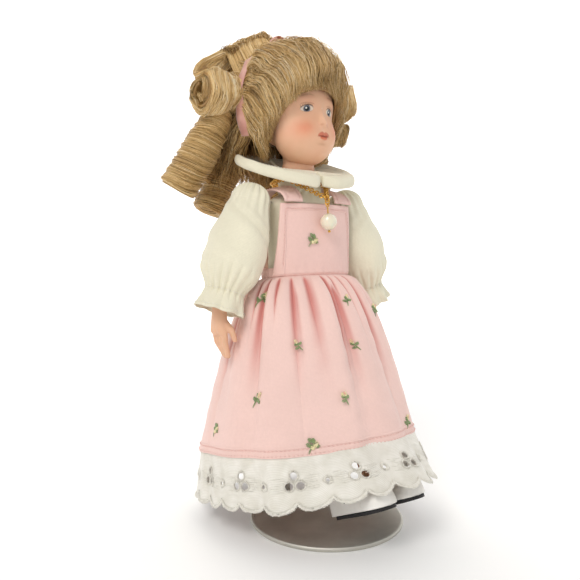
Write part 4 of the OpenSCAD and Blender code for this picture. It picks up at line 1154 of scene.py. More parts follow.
# fine light strands that cross the others
count = 900
th = RNG.uniform(-112, 112, count)
step = np.linspace(0, 1, 7)
turns = th[:, None] + RNG.normal(0, 13, (count, 1)) * step
place = RNG.uniform(0.05, 0.75, (count, 1)) + RNG.uniform(0.1, 0.3, (count, 1)) * step
step_at = (place * 40).astype(int).clip(0, 40)
C = np.stack([catmull(table(FRONT, turns[:, i]), 41)[np.arange(count), step_at[:, i]] for i in range(7)], 1)
C = CENTRE + (C - CENTRE) * (1 + RNG.uniform(0.0, 0.05, (count, 1, 1)))
add_strands(catmull(C, 12), 0.10, RNG.normal(0.78, 0.12, count), wild=1.1)

# short fringe ends that cross over the forehead
th = RNG.uniform(-60, 60, 420)
C = table(FRONT, th)[:, 2:]
C[:, -1] += RNG.normal(0, 1, (420, 3)) * np.array([1.5, 0.5, 1.3]) + np.array([0, 0.1, -0.4])
C += RNG.normal(0, 0.5, C.shape)
add_strands(catmull(C, 12), 0.15, clumpy(np.radians(th), 51, mean=0.6), wild=1.0)


def spine_frame(S):
    """Side vectors along a spine (n, 3)."""
    T = unit(np.gradient(S, axis=0))
    ref = np.array([0.2, -0.9, 0.35])
    A = unit(np.cross(T, ref))
    return T, A, np.cross(T, A)


def ringlet(name, ctrl, r0, r1, count, seed, nodes=(), mean=0.5, hollow=0.5):
    """A rolled curl along a spine through ctrl, with a hollow lower end and strands wound round it."""
    S = catmull(np.array([ctrl], float), 40)[0]
    T, A, B = spine_frame(S)
    s = np.linspace(0, 1, 40)
    R = (r0 + (r1 - r0) * s) * (1 - 0.25 * np.exp(-s / 0.05)) * (1 + 0.05 * np.sin(s * 9 + seed))
    # the barrel under the strands: outside, rim, then the inside of the hollow end; its dark tone is painted
    # shade between the strands and in the hollow
    ang = np.linspace(0, 2 * np.pi, 40, endpoint=False)
    rings = [(0.02, 0, 0)] + [(R[i] * 0.93, i, 0) for i in range(0, 40, 3)] + [(R[-1] * 0.9, 39, 0.3)]
    rings += [(R[-1] * 0.72, 39, 0.35), (R[-1] * hollow, 39, -0.6), (R[-1] * hollow * 0.9, 36, 0),
              (0.02, 35, 0)]
    P = []
    for r, i, out in rings:
        ripple = 1 + 0.03 * np.sin(7 * ang + i)
        P.append(S[i] + T[i] * out + (A[i] * np.cos(ang)[:, None] + B[i] * np.sin(ang)[:, None])
                 * (r * ripple)[:, None])
    ob = grid(name, put(HEAD, np.array(P)), wrap=True, tone=np.full(len(rings) * 40, 0.16))
    give(tidy(ob), HAIR, "head", list(nodes))
    length = np.linalg.norm(np.diff(S, axis=0), axis=-1).sum()
    n = 18
    k = np.linspace(0, 1, n)
    start = RNG.uniform(-0.16, 0.96, count)
    run = RNG.uniform(0.26, 0.5, count) * 14 / length
    u = np.clip(start[:, None] + run[:, None] * k, 0, 1)
    a0 = RNG.uniform(0, 2 * np.pi, count)
    a = a0[:, None] + 2 * np.pi * RNG.uniform(0.55, 1.2, (count, 1)) * k
    rad = np.interp(u, s, R) * (1 + RNG.normal(0, 0.035, (count, 1)) + 0.025 * np.sin(u * length * 1.7))
    over = np.clip(start[:, None] + run[:, None] * k - 1, 0, 0.2) * 4
    rad = rad * (1 - over * RNG.uniform(0.2, 0.9, (count, 1)))
    Si = np.stack([np.interp(u, s, S[:, c]) for c in range(3)], -1)
    Ai = unit(np.stack([np.interp(u, s, A[:, c]) for c in range(3)], -1))
    Bi = unit(np.stack([np.interp(u, s, B[:, c]) for c in range(3)], -1))
    W = Si + (Ai * np.cos(a)[..., None] + Bi * np.sin(a)[..., None]) * rad[..., None]
    W = W + RNG.normal(0, 0.1, (count, 1, 3))
    lock = np.round(start * length / 1.4)
    light = np.random.default_rng(seed).uniform(-0.16, 0.16, 400)[(lock.astype(int)) % 400]
    add_strands(W, 0.17, mean + light + RNG.normal(0, 0.15, count), taper=0.6, wild=0.3)
    # the rolled inner end
    count = count // 4
    a = RNG.uniform(0, 2 * np.pi, (count, 1)) + 2 * np.pi * k * RNG.uniform(0.6, 1.1, (count, 1))
    rad = R[-1] * (RNG.uniform(0.78, 1.0, (count, 1)) - (0.3 + 0.3 * (1 - hollow)) * k)
    back = RNG.uniform(-0.2, 0.9, (count, 1)) - 2.2 * k ** 2
    around = A[-1] * np.cos(a)[..., None] + B[-1] * np.sin(a)[..., None]
    W = S[-1] + T[-1] * back[..., None] + around * rad[..., None]
    add_strands(W, 0.16, mean + 0.06 + RNG.normal(0, 0.17, count), taper=0.5, wild=0.2)


ringlet("ringlet_right", [(-28, 17, 3), (-33, 20.5, -6), (-37.5, 26, -16), (-42.5, 34, -28)],
        6.4, 8.4, 900, 3, nodes=["curls_right"], mean=0.52, hollow=0.5)
ringlet("ringlet_right_inner", [(-17, 28, 3), (-21, 34, -6), (-27, 41, -19)], 6.4, 6.8, 420, 5, mean=0.44)
ringlet("ringlet_left", [(27, 18, 3), (32, 22, -6), (36, 27, -16), (41, 35, -28)], 6.4, 8.0, 650, 7,
        nodes=["curls_left"], mean=0.5)
ringlet("ringlet_left_side", [(23, 8, 2), (29, 6, -2), (35, 2.5, -4)], 4.8, 6.0, 360, 9, hollow=0.55)
ringlet("ringlet_back_right", [(-5, 33, -2), (-9.5, 37.5, -12), (-20, 44, -34)], 6.6, 7.4, 620, 11,
        nodes=["curls_back"], mean=0.46)
ringlet("ringlet_back_left", [(5, 33, -2), (9.5, 37.5, -12), (18, 43, -33)], 6.6, 7.2, 620, 13, mean=0.46)
ringlet("ringlet_back_top", [(0, 31, 11), (0, 39, 8), (0, 50, 1)], 6.8, 7.8, 450, 15, mean=0.5)


# points in the head from which the rolls' hair is spread and sunk
CORE_TOP, CORE_BACK = np.array([0, 6.0, 8.0]), np.array([0, 8.0, 8.0])


def big_roll(name, side, centre, tip, radius, count, seed, start_at, hump):
    """The lock that is swept back from the headband over a raised hump and rolled forward, down and under."""
    c0, c1 = np.array(centre, float), np.array(tip, float)
    q = RNG.uniform(0, 1, count)
    depth = RNG.uniform(0, 1, count) ** 0.6
    P0 = table(CROWN, side * np.interp(q, [0, 1], start_at))[:, 0]
    r = radius * (0.80 + 0.22 * depth)
    axis = c0 + (c1 - c0) * q[:, None]
    turns = np.linspace(0, 1, 9)
    phi = -0.35 + 2 * np.pi * 1.6 * turns[None, :] * RNG.uniform(0.85, 1.1, (count, 1))
    rr = r[:, None] * (1 - 0.68 * turns[None, :] ** 1.3)
    drift = RNG.uniform(-1.0, 1.0, (count, 1)) * turns
    roll = axis[:, None] + np.stack([drift * 1.2 * side, -rr * np.sin(phi), rr * np.cos(phi)], -1)
    top = roll[:, 0]
    h = np.array(hump, float)
    mid = h[0] + (h[1] - h[0]) * q[:, None]
    near = (P0 + mid) / 2 + np.array([0, 1.2, 2.6])
    late = (mid + top) / 2 + np.array([side * 1.2, 3.0, 2.2])
    spread = (depth[:, None] - 0.75) * 3.5
    away = unit(mid - CORE_TOP)
    near, mid, late = near + away * spread * 0.6, mid + away * spread, late + away * spread * 0.8
    C = np.concatenate([P0[:, None], near[:, None], mid[:, None], late[:, None], roll], 1)
    C = C + RNG.normal(0, 0.35, C.shape) * np.minimum(np.arange(C.shape[1]) / 2, 1)[None, :, None]
    tone = clumpy(q * 2.2 + seed, seed, mean=0.66, spread=0.17)
    add_strands(catmull(C, 34), 0.17, tone, taper=0.5, wild=1.0)
    # the body under the strands, in a dark tone that is painted shade between them
    q = np.linspace(0, 1, 26)
    P0 = table(CROWN, side * np.interp(q, [0, 1], start_at))[:, 0]
    axis = c0 + (c1 - c0) * q[:, None]
    phi = np.linspace(-0.35, 2 * np.pi * 0.98, 16)
    rr = radius * (0.78 - 0.36 * np.linspace(0, 1, 16) ** 1.2)
    roll = axis[:, None] + np.stack([0 * phi, -rr * np.sin(phi), rr * np.cos(phi)], -1)[None]
    top = roll[:, 0]
    mid = h[0] + (h[1] - h[0]) * q[:, None]
    inward = -2.4 * unit(mid - CORE_TOP)
    near = (P0 + mid) / 2 + np.array([0, 1.2, 2.6]) + inward * 0.7
    late = (mid + top) / 2 + np.array([side * 1.2, 3.0, 2.2]) + inward * 0.7
    mid = mid + inward
    C = catmull(np.concatenate([P0[:, None], near[:, None], mid[:, None], late[:, None], roll], 1), 60)
    ob = grid(name, put(HEAD, C), tone=np.full(26 * 60, 0.22))
    thick(ob, 1.2, 0.0)
    give(tidy(ob), HAIR, "head")

    def combed_back(q, sink):
        """Curves from the crest of the hump down over the back of the crown."""
        crest = h[0] + (h[1] - h[0]) * np.stack([q, np.abs(q), np.abs(q)], -1)
        low = table(CROWN, side * np.interp(q, [0, 1], start_at))[:, 3]
        half = (crest + low) / 2
        bulge = half + 3.5 * unit(half - CORE_BACK)
        C = np.stack([crest + [0, -3.0, -0.6], crest, bulge, low], 1)
        return C - sink * unit(C - CORE_BACK)

    q = RNG.uniform(-0.12, 1, 900)
    C = combed_back(q, RNG.uniform(-0.6, 0.8, (900, 1, 1)))
    C = C + RNG.normal(0, 0.6, C.shape)
    add_strands(catmull(C, 20), 0.17, clumpy(q * 2.2 + seed, seed + 2, mean=0.52), taper=0.5, wild=0.9)
    C = catmull(combed_back(np.linspace(-0.1, 0.97, 26), 1.8), 24)
    # the combed-back body also gets the dark tone of painted shade
    ob = grid(name + "_back", put(HEAD, C), tone=np.full(26 * 24, 0.22))
    thick(ob, 1.0, 0.0)
    give(tidy(ob), HAIR, "head")


big_roll("roll_right", -1, (-19, 14, 10), (-41.5, 12.6, 8.6), 10.4, 1900, 21, (2, 78),
         [(-2.5, 12.5, 43), (-24, 15, 31.5)])
big_roll("roll_left", 1, (19, 8, 15), (41, 5, 13.5), 9.6, 1300, 23, (2, 74), [(2.5, 13.5, 42.5), (30, 8, 28)])
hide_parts("hair_puff")

# loose nape hair between the ringlets, in a dark tone that is painted shade, and flyaways
count = 700
x = RNG.uniform(-20, 20, count)
top = np.stack([x, 27 + RNG.uniform(-3, 4, count) - 0.012 * x * x, RNG.uniform(-8, 4, count)], -1)
drop = [RNG.normal(0, 4, count) + x * 0.25, RNG.uniform(0, 9, count), RNG.uniform(-26, -12, count)]
end = top + np.stack(drop, -1)
mid = (top + end) / 2 + RNG.normal(0, 2.2, (count, 3))
# dark tone: painted shade on the nape hair
add_strands(catmull(np.stack([top, mid, end], 1), 12), 0.15, RNG.normal(0.3, 0.13, count))
count = 260
a = RNG.uniform(-2.9, 2.9, count)
el = RNG.uniform(-0.7, 1.3, count)
behind = np.where(RNG.uniform(0, 1, count) < 0.85, 1, -0.6)
d = np.stack([np.sin(a) * np.cos(el), np.abs(np.cos(a)) * np.cos(el) * behind, np.sin(el)], -1)
root = np.array([0, 12.0, 8.0]) + d * np.array([24, 18, 22])
bend = RNG.normal(0, 1, (count, 3))
C = np.stack([root, root + d * 4 + bend * 2.0, root + d * 7 + bend * 5 + [0, 0, -1.0],
              root + d * 8 + bend * 7 + [0, 0, -5.0]], 1)
add_strands(catmull(C, 14), 0.07, RNG.normal(0.8, 0.1, count))

groups = {}
for paths, r, tone_ in STRANDS:
    groups.setdefault(paths.shape[1], []).append((put(HEAD, paths), r, tone_))
for n, items in groups.items():
    paths = np.concatenate([i[0] for i in items])
    r = np.concatenate([i[1] for i in items])
    tn = np.concatenate([i[2] for i in items])
    shade = 1 - 0.12 * np.abs(np.linspace(-1, 1, n)) ** 3
    ob = tubes(paths, r, 3, tone=tn[:, None] * shade, name=f"hair_strands_{n}")
    give(ob, HAIR, "head")


# ------------------------------------------------------------ ribbon

th = np.linspace(-124, 124, 160)
wide = np.linspace(-1, 1, 9)
A = table(CROWN, th)[:, 0]
out = unit(A - CENTRE)
across = np.array([0, 0.970, 0.242])
width = 2.2 + 0.7 * smooth_step(60, 110, np.abs(th)) + 0.25 * wobble(np.radians(th), 61, 5, 2, 9)
puff = 0.5 * np.sin(np.radians(th) * 9) * 0.4
P = A[:, None] + out[:, None] * (2.5 + puff[:, None, None] - 0.35 * wide[None, :, None] ** 2) \
    + across * (width[:, None] * wide[None, :])[..., None]
ribbon = grid("headband_ribbon", put(HEAD, P), size=(5, 130))
thick(ribbon, 0.35, 0.0)
give(tidy(ribbon), SATIN, "head", ["headband"])


def loop(side, size, lean, back):
    """One loop of the bow, out from the knot and back under it."""
    a = np.linspace(0, 2 * np.pi, 48)
    x = size * (1 - np.cos(a)) / 2
    z = 0.30 * size * np.sin(a) * np.abs(np.sin(a / 2)) ** 0.6
    v = np.linspace(-1, 1, 9)
    wide = 0.9 + 1.5 * np.sin(a / 2) ** 1.2
    Q = np.stack([np.broadcast_to(side * x[:, None], (48, 9)), v * wide[:, None] + back * x[:, None],
                  z[:, None] + lean * x[:, None] + 0.25 * np.cos(v * 3)], -1)
    return Q


bow_at = np.array([0, -1.2, 32.8])
parts = []
for side, size in ((-1, 8.2), (1, 7.6)):
    parts.append(grid("loop", put(HEAD, bow_at + loop(side, size, 0.16, 0.05)), size=(4, 18)))
for side, dx, dz in ((-1, 7.5, -1.2), (1, 6.8, -0.6)):
    k = np.linspace(0, 1, 16)[:, None]
    v = np.linspace(-1, 1, 7)
    Q = np.stack([np.broadcast_to(side * dx * k, (16, 7)), v * (0.7 + 1.3 * k) - 3.0 * k,
                  np.broadcast_to(0.6 + dz * k ** 1.5 + 0.4 * np.sin(4 * k), (16, 7))], -1)
    parts.append(grid("tail", put(HEAD, bow_at + Q), size=(4, 9)))
bow = join("ribbon_bow_loops", parts)
thick(bow, 0.32, 0.0)
give(bow, SATIN, "head", ["ribbon_bow"])
a = np.linspace(0, 2 * np.pi, 20, endpoint=False)
q = np.linspace(-1, 1, 9)
dome = np.sqrt(1.15 - q[:, None] ** 2)
K = np.stack([(1.35 + 0.25 * np.sin(3 * a)) * np.cos(a) * dome, q[:, None] * 1.9 + 0 * a,
              (1.5 + 0.2 * np.cos(5 * a)) * np.sin(a) * dome], -1)
knot = grid("ribbon_knot", put(HEAD, bow_at + K + [0, 0, 0.4]), wrap=True, size=(8, 4))
thick(knot, 0.3)
give(tidy(knot), SATIN, "head")
# ------------------------------------------------------------ blouse

def closed_sheet(name, P, size, t, mat, body, nodes=()):
    """A cloth tube of rings (rows, columns, 3), thickened inwards."""
    ob = tidy(grid(name, P, wrap=True, size=size))
    thick(ob, t, -1.0, False)
    return give(ob, mat, body, nodes)


def folds(a, s, seed, deep):
    """Broad soft creases of a loose sleeve or bodice: angle a and distance s along it, both arrays."""
    x = wobble(a + 0.03 * s, seed, 5, 2, 6) * 0.6
    y = wobble(a * 1.0 + 0.16 * s + 0.5 * np.sin(0.22 * s + a), seed + 1, 4, 2, 5) * 0.55
    return deep * (x + y)


def blouse_at(w, q):
    """Body frame points of the blouse; q is 0 at the hem, 34 where the shoulder rounds, 46 at the neck."""
    z1 = np.minimum(q, 34) - 7
    up = np.radians(np.clip(q - 34, 0, 12) / 12 * 62)
    grow = np.interp(z1, [-7, 2, 12, 20], [0.7, 0.7, 0.3, 0.0])
    a, b = (17.3 + grow) * np.cos(up), (11.4 + grow / 2) * np.cos(up)
    k = smooth_step(math.radians(28), math.radians(58), up)
    a, b = a * (1 - k) + 9.3 * k, b * (1 - k) + 9.3 * k
    z = z1 + 10.3 * np.sin(up)
    side = np.abs(np.cos(w)) ** 4
    d = folds(w, q, 71, 0.32) * (1 - 0.6 * side) * np.sin(np.pi * np.clip(q / 46, 0, 1)) ** 0.6
    flute = np.sin(22 * w + 2 * wobble(w, 73, 4, 2, 7))
    d += 0.28 * flute * smooth_step(36, 43, q) * (1 - smooth_step(44, 46, q))
    return np.stack([(a + d) * np.cos(w), (b + d) * np.sin(w), z], -1)


w = np.linspace(0, 2 * np.pi, 260, endpoint=False)
q = runs((46, 34, 36), (34, 0, 40))
W, Q = np.meshgrid(w, q)
closed_sheet("blouse_cloth", put(BODY, blouse_at(W, Q)), (98, 47), 0.45, CREAM, "doll",
             ["blouse_body"])
# the stand that the collar is sewn to
prof = [(43.2, 8.75), (43.4, 9.05), (43.1, 9.3), (41, 9.35), (38.5, 9.3), (36.6, 9.4), (36.0, 9.7),
        (35.6, 9.6)]
ring = []
for z, r in prof:
    rr = r + 0.12 * np.sin(17 * w + z) * (z < 42)
    ring.append(oval(rr, rr, z, w))
closed_sheet("collar_stand", put(BODY, np.array(ring)), (60, 8), 0.5, CREAM, "doll")


# ------------------------------------------------------------ collar

def collar_rz(w, v):
    s = (1 - np.cos(w)) / 2
    z = (1 - v) * (43.5 + 4.5 * s) + v * (39 + 10 * s + 7 * s ** 2) - 1.5 * np.sin(np.pi * v) * s
    z = z + 3.4 * v ** 2 * np.exp(-((w - 1.95) / 0.75) ** 2)
    r = (1 - v) * 9.6 + v * (16.5 + 8.5 * np.sin(w) ** 1.2 + 5 * s ** 2)
    return r, z


def collar_section(w):
    """Outline of the puffed leaf at turn w from the front, as (radius, height)."""
    reach = 0.62 + 0.38 * smooth_step(4, 20, np.degrees(w))
    v = np.linspace(0, 1, 22)
    r, z = collar_rz(w, v * reach)
    tall = 2.55 - 0.5 * smooth_step(90, 170, np.degrees(w))
    crown = 0.55 * np.sin(np.pi * v) ** 0.8 - 0.22 * np.exp(-((v - 0.80) / 0.025) ** 2)
    top = np.stack([r, z + crown], -1)
    a = np.radians(np.linspace(72, -95, 18))
    rim = np.stack([r[-1] + 0.1 + 1.5 * np.cos(a), z[-1] - tall + tall * np.sin(a)], -1)
    v2 = np.array([0.93, 0.86, 0.78, 0.66, 0.5, 0.34, 0.18, 0.05])
    r2, z2 = collar_rz(w, v2 * reach)
    h = np.interp(v2, [0, 0.3, 0.7, 0.82, 0.93], [1.3, 1.3, 1.7, 3.0, 4.3])
    h = h * np.interp(v2, [0.6, 1], [1, tall / 2.4])
    under = np.stack([r2, z2 - h], -1)
    return np.concatenate([top, rim, under])


def collar_face(side):
    """The upper face of a leaf at turn a and distance b, for its stitches."""
    def at(a, b):
        r, z = collar_rz(a, b * (0.62 + 0.38 * smooth_step(4, 20, np.degrees(a))))
        return put(BODY, np.stack([side * r * np.sin(a), -r * np.cos(a), z + 0.28], -1))
    return Cloth(at)


# each closing ring of a leaf's end: its share of the last ring's size, and how far out it stands
CLOSING = ((0.93, 0.55), (0.75, 0.95), (0.4, 1.15), (0.02, 1.2))
for side, name in ((RIGHT, "right"), (LEFT, "left")):
    turn_w = runs((5, 24, 22), (24, 175, 110))
    rings = []
    for d in turn_w:
        wr = math.radians(d)
        sec = collar_section(wr)
        k = np.arange(len(sec))
        sec = sec + 0.10 * np.stack([np.sin(0.35 * d + 0.5 * k), np.cos(0.27 * d + 0.4 * k)], -1) \
            * np.sin(np.pi * np.clip(k / 44, 0, 1))[:, None]
        rings.append(np.stack([sec[:, 0] * math.sin(wr), -sec[:, 0] * math.cos(wr), sec[:, 1]], -1))
    rings = np.array(rings)
    ends = []
    for ring, step in ((rings[0], np.array([-0.55, 0, 0])), (rings[-1], np.array([-0.5, 0, 0]))):
        c = ring.mean(0)
        ends.append([c + (ring - c) * s + step * o for s, o in CLOSING])
    rings = np.concatenate([ends[0][::-1], rings, ends[1]])
    rings[..., 0] *= side
    leaf = tidy(grid("collar_leaf_" + name, put(BODY, rings), wrap=True, size=(44, 120)))
    give(subdivide(leaf), CREAM, "doll", ["collar_" + name])
    face = collar_face(side)
    face.flip = -1.0 if side > 0 else 1.0
    aa = np.radians(np.linspace(8, 173, 300))
    sew("collar_stitching_" + name, [stitches(face, aa, np.full(300, 0.80), 0.9, 0.5, 0.22)],
        0.1, WHITE_THREAD, "doll")


# ------------------------------------------------------------ sleeves

SLEEVE = np.array([[3, 9], [6, 9.9], [10, 11], [16, 12.3], [22, 12.9], [28, 12.4], [33, 11], [36.5, 9.2],
                   [39, 8], [41, 8.5], [44, 9.4], [47.5, 10]], float)
line = [(8.2 * math.cos(math.radians(d)), 8.2 * math.sin(math.radians(d))) for d in np.linspace(89.2, 2, 30)]
fine_s = np.linspace(0, 3, 5)[1:-1]
line += [(8.2 + 0.8 * (x / 3) ** 1.2, -x) for x in fine_s]
body_s = runs((3, 36, 56), (36, 47.5, 44))
smooth = catmull(SLEEVE[None, :, [1, 0, 0]], 400)[0]
line += list(zip(np.interp(body_s, smooth[:, 1], smooth[:, 0]), -body_s))
SLEEVE_LINE = np.array(line)
SLEEVE_D = np.concatenate([[0], np.cumsum(np.hypot(*np.diff(SLEEVE_LINE, axis=0).T))])


def sleeve_at(a, d, side, seed):
    """Arm frame points of a sleeve at angle a (0 is outward) and distance d from the top of its cap."""
    r = np.interp(d, SLEEVE_D, SLEEVE_LINE[:, 0])
    z = np.interp(d, SLEEVE_D, SLEEVE_LINE[:, 1])
    inner = smooth_step(-0.2, -0.9, np.cos(a))
    a2 = a + 0.06 * wobble(a, seed, 5, 2, 7)
    g = 0.42 * np.exp(-((z - 5.4) / 3.2) ** 2) * np.cos(15 * a2) * smooth_step(0.5, 4, r)
    g += 0.26 * np.exp(-((z + 1) / 5.5) ** 2) * np.cos(15 * a2)
    big = folds(a2, -z, seed + 3, 1.0) * smooth_step(2, -12, z) * smooth_step(-39, -27, z)
    sag = 0.9 * np.exp(-((z + 31) / 4.0) ** 2) * (0.4 + 0.6 * np.sin(1.5 * a2 + seed) ** 2)
    near = np.abs(z + 39)
    ph = 19 * a2 + 0.9 * wobble(a, seed + 5, 4, 3, 9)
    ridge = np.abs(np.sin(ph / 2)) ** 0.75 - 0.62
    g += (0.95 * np.exp(-(near / np.where(z > -39, 5.2, 3.0)) ** 1.2)) * ridge
    g += 0.7 * np.exp(-((z + 33) / 4.5) ** 2) * (np.abs(np.sin(9.5 * a2 + 0.4)) ** 0.8 - 0.6)
    out = smooth_step(-40, -47.5, z)
    flute = 0.7 * np.sin(8 * a2 + 1.1 * wobble(a, seed + 7, 4, 1, 5)) + 0.35 * wobble(a, seed + 8, 5, 6, 14)
    g += out * flute
    g += (big + sag) * (1 - 0.75 * inner)
    g = np.where(inner > 0.4, np.minimum(g, 0.35), g)
    r = r + g
    z = z + out * 0.22 * np.sin(8 * a2 + 2)
    return np.stack([side * r * np.cos(a), r * np.sin(a), z], -1)


for side, name, seed in ((RIGHT, "right", 81), (LEFT, "left", 95)):
    a = np.linspace(0, 2 * np.pi, 320, endpoint=False)
    A, D = np.meshgrid(a, SLEEVE_D)
    P = sleeve_at(A, D, side, seed)
    outward = np.stack([side * np.cos(A), np.sin(A), 0 * A], -1)
    P = P + outward * (0.24 * smooth_step(SLEEVE_D[-1] - 1.75, SLEEVE_D[-1] - 1.45, D)
                       - 0.2 * smooth_step(SLEEVE_D[-1] - 0.35, SLEEVE_D[-1], D))[..., None]
    closed_sheet("sleeve_cloth_" + name, put(arm_frame(side), P), (80, 60), 0.5, CREAM, name + "_arm",
                 ["sleeve_" + name])
    face = Cloth(lambda x, y, side=side, seed=seed: put(arm_frame(side), sleeve_at(x, y, side, seed)))
    face.flip = -1.0 if side > 0 else 1.0
    ring = np.linspace(0, 2 * np.pi, 500)
    low = np.interp(-39.0, SLEEVE_LINE[::-1, 1], SLEEVE_D[::-1])
    sew("sleeve_stitching_" + name, [
        stitches(face, ring, np.full(500, SLEEVE_D[-1] - 1.55), 1.0, 0.5, 0.4),
        stitches(face, ring, np.full(500, low), 0.9, 0.35, 0.25)], 0.1, WHITE_THREAD, name + "_arm")


# ------------------------------------------------------------ hands

def capsule(p, q, r1, r2):
    """A closed round-ended peg from p to q."""
    sides = 20
    p, q = np.asarray(p, float), np.asarray(q, float)
    l = np.linalg.norm(q - p)
    T = (q - p) / l
    A = unit(np.cross(T, [0.3, 1, 0.2]))
    B = np.cross(T, A)
    a = np.radians(np.linspace(-89, 0, 7))
    prof = [(r1 * math.cos(x), r1 * math.sin(x)) for x in a]
    prof += [(r2 * math.cos(x), l + r2 * math.sin(x)) for x in -a[::-1]]
    th = np.linspace(0, 2 * np.pi, sides, endpoint=False)[:, None]
    P = np.array([p + T * d + (A * np.cos(th) + B * np.sin(th)) * r for r, d in prof])
    ob = grid("peg", P, wrap=True)
    bm = bmesh.new()
    bm.from_mesh(ob.data)
    bmesh.ops.holes_fill(bm, edges=bm.edges, sides=sides)
    bmesh.ops.recalc_face_normals(bm, faces=bm.faces)
    bm.to_mesh(ob.data)
    bm.free()
    return ob


HAND = shift(0, 0, -47) @ turn("Y", 17)
PEGS = [((0, 0, 0), (-0.2, -2.4, -8), 3.05, 2.3), ((0, 0, 0), (-0.2, 0.2, -8), 3.05, 2.4),
        ((0, 0, 0), (-0.2, 2.6, -8), 3.05, 2.1), ((-0.4, -1.0, -3.4), (-2.5, -5.4, -7.6), 1.75, 1.35),
        ((-2.5, -5.4, -7.6), (-3.9, -6.0, -11.4), 1.3, 1.05)]
for f in range(4):
    y = -3.5 + 2.3 * f
    size = (1.28, 1.34, 1.28, 1.14)[f]
    tip = -17.2 - 1.6 * math.sin(math.radians(60 + 40 * f))
    curl = 0.4 + 0.5 * f
    knuckle = (-0.9 - 0.2 * f, y * 1.02, -12.8)
    PEGS.append(((-0.3, y, -8.0), knuckle, size + 0.06, size - 0.04))
    PEGS.append((knuckle, (-2.4 - curl * 0.8, y * 0.92, tip + 0.5), size - 0.04, size - 0.2))
for side, name in ((RIGHT, "right"), (LEFT, "left")):
    parts = []
    for p, q, r1, r2 in PEGS:
        p, q = put(HAND, [p])[0], put(HAND, [q])[0]
        parts.append(capsule(p, q, r1, r2))
    prof = [(0.05, -24), (3.4, -24), (3.5, -30.1), (4.45, -30.3), (4.5, -33), (4.3, -37), (4.0, -40),
            (3.5, -44), (3.1, -47), (2.6, -49), (0.05, -49.2)]
    dense = []
    for (ra, za), (rb, zb) in zip(prof[:-1], prof[1:]):
        dense += [(ra + (rb - ra) * k / 4, za + (zb - za) * k / 4) for k in range(4)]
    th = np.linspace(0, 2 * np.pi, 40, endpoint=False)
    fore = grid("fore", lathe(dense + [prof[-1]], th), wrap=True)
    parts.append(fore)
    hand = join("porcelain_hand_" + name, parts)
    m = hand.modifiers.new("remesh", "REMESH")
    m.mode = "VOXEL"
    m.voxel_size = 0.00030
    m.use_smooth_shade = True
    m = hand.modifiers.new("soften", "SMOOTH")
    m.factor, m.iterations = 0.5, 5
    bake(hand)
    me = hand.data
    co = np.empty(len(me.vertices) * 3, np.float32)
    me.vertices.foreach_get("co", co)
    co = co.reshape(-1, 3) * 1000.0
    co[:, 0] *= side
    me.vertices.foreach_set("co", (put(arm_frame(side), co) * 0.001).astype(np.float32).ravel())
    if side < 0:
        me.flip_normals()
    me.update()
    give(hand, BISQUE, name + "_arm", ["forearm_" + name])


# ------------------------------------------------------------ shoes

FOOT = np.array([[-4.6, 2.2, 8], [-4, 3.8, 10.4], [-2, 4.6, 11.4], [2, 4.9, 11.2], [6.5, 5.1, 9.4],
                 [11, 5.4, 7.9], [15.5, 5.5, 6.7], [19, 4.7, 5.9], [21.3, 2.4, 4.6]])
STRETCH = (29.5 - 2.9) / 25.9


def shoe_rings(grow):
    rows, n = 80, 96
    F = FOOT.copy()
    F[:, 0] = F[:, 0] * STRETCH + np.where(F[:, 0] < 0, -grow, grow) * 0.9
    F[:, 1:] += grow
    F = catmull(F[None], rows)[0]
    k = np.linspace(0, 1, rows)
    # the toe and heel close in a round end
    cap = np.sqrt(np.clip(1 - np.clip((k - 0.93) / 0.07, 0, 0.995) ** 2, 0, 1)) \
        * np.sqrt(np.clip(1 - np.clip((0.05 - k) / 0.05, 0, 0.995) ** 2, 0, 1))
    t = np.linspace(0, 2 * np.pi, n, endpoint=False)
    ct, st = np.cos(t), np.sin(t)
    x = np.sign(ct) * np.abs(ct) ** 0.85
    z = np.where(st > 0, np.abs(st) ** 0.9, 0.4 * st)
    X = F[:, 1][:, None] * cap[:, None] * x
    top = F[:, 2][:, None] * (0.35 + 0.65 * cap[:, None])
    Z = np.where(z > 0, top * z, z) + 0.4
    Y = np.broadcast_to(-F[:, 0][:, None], X.shape)
    return np.stack([X, Y, Z], -1)


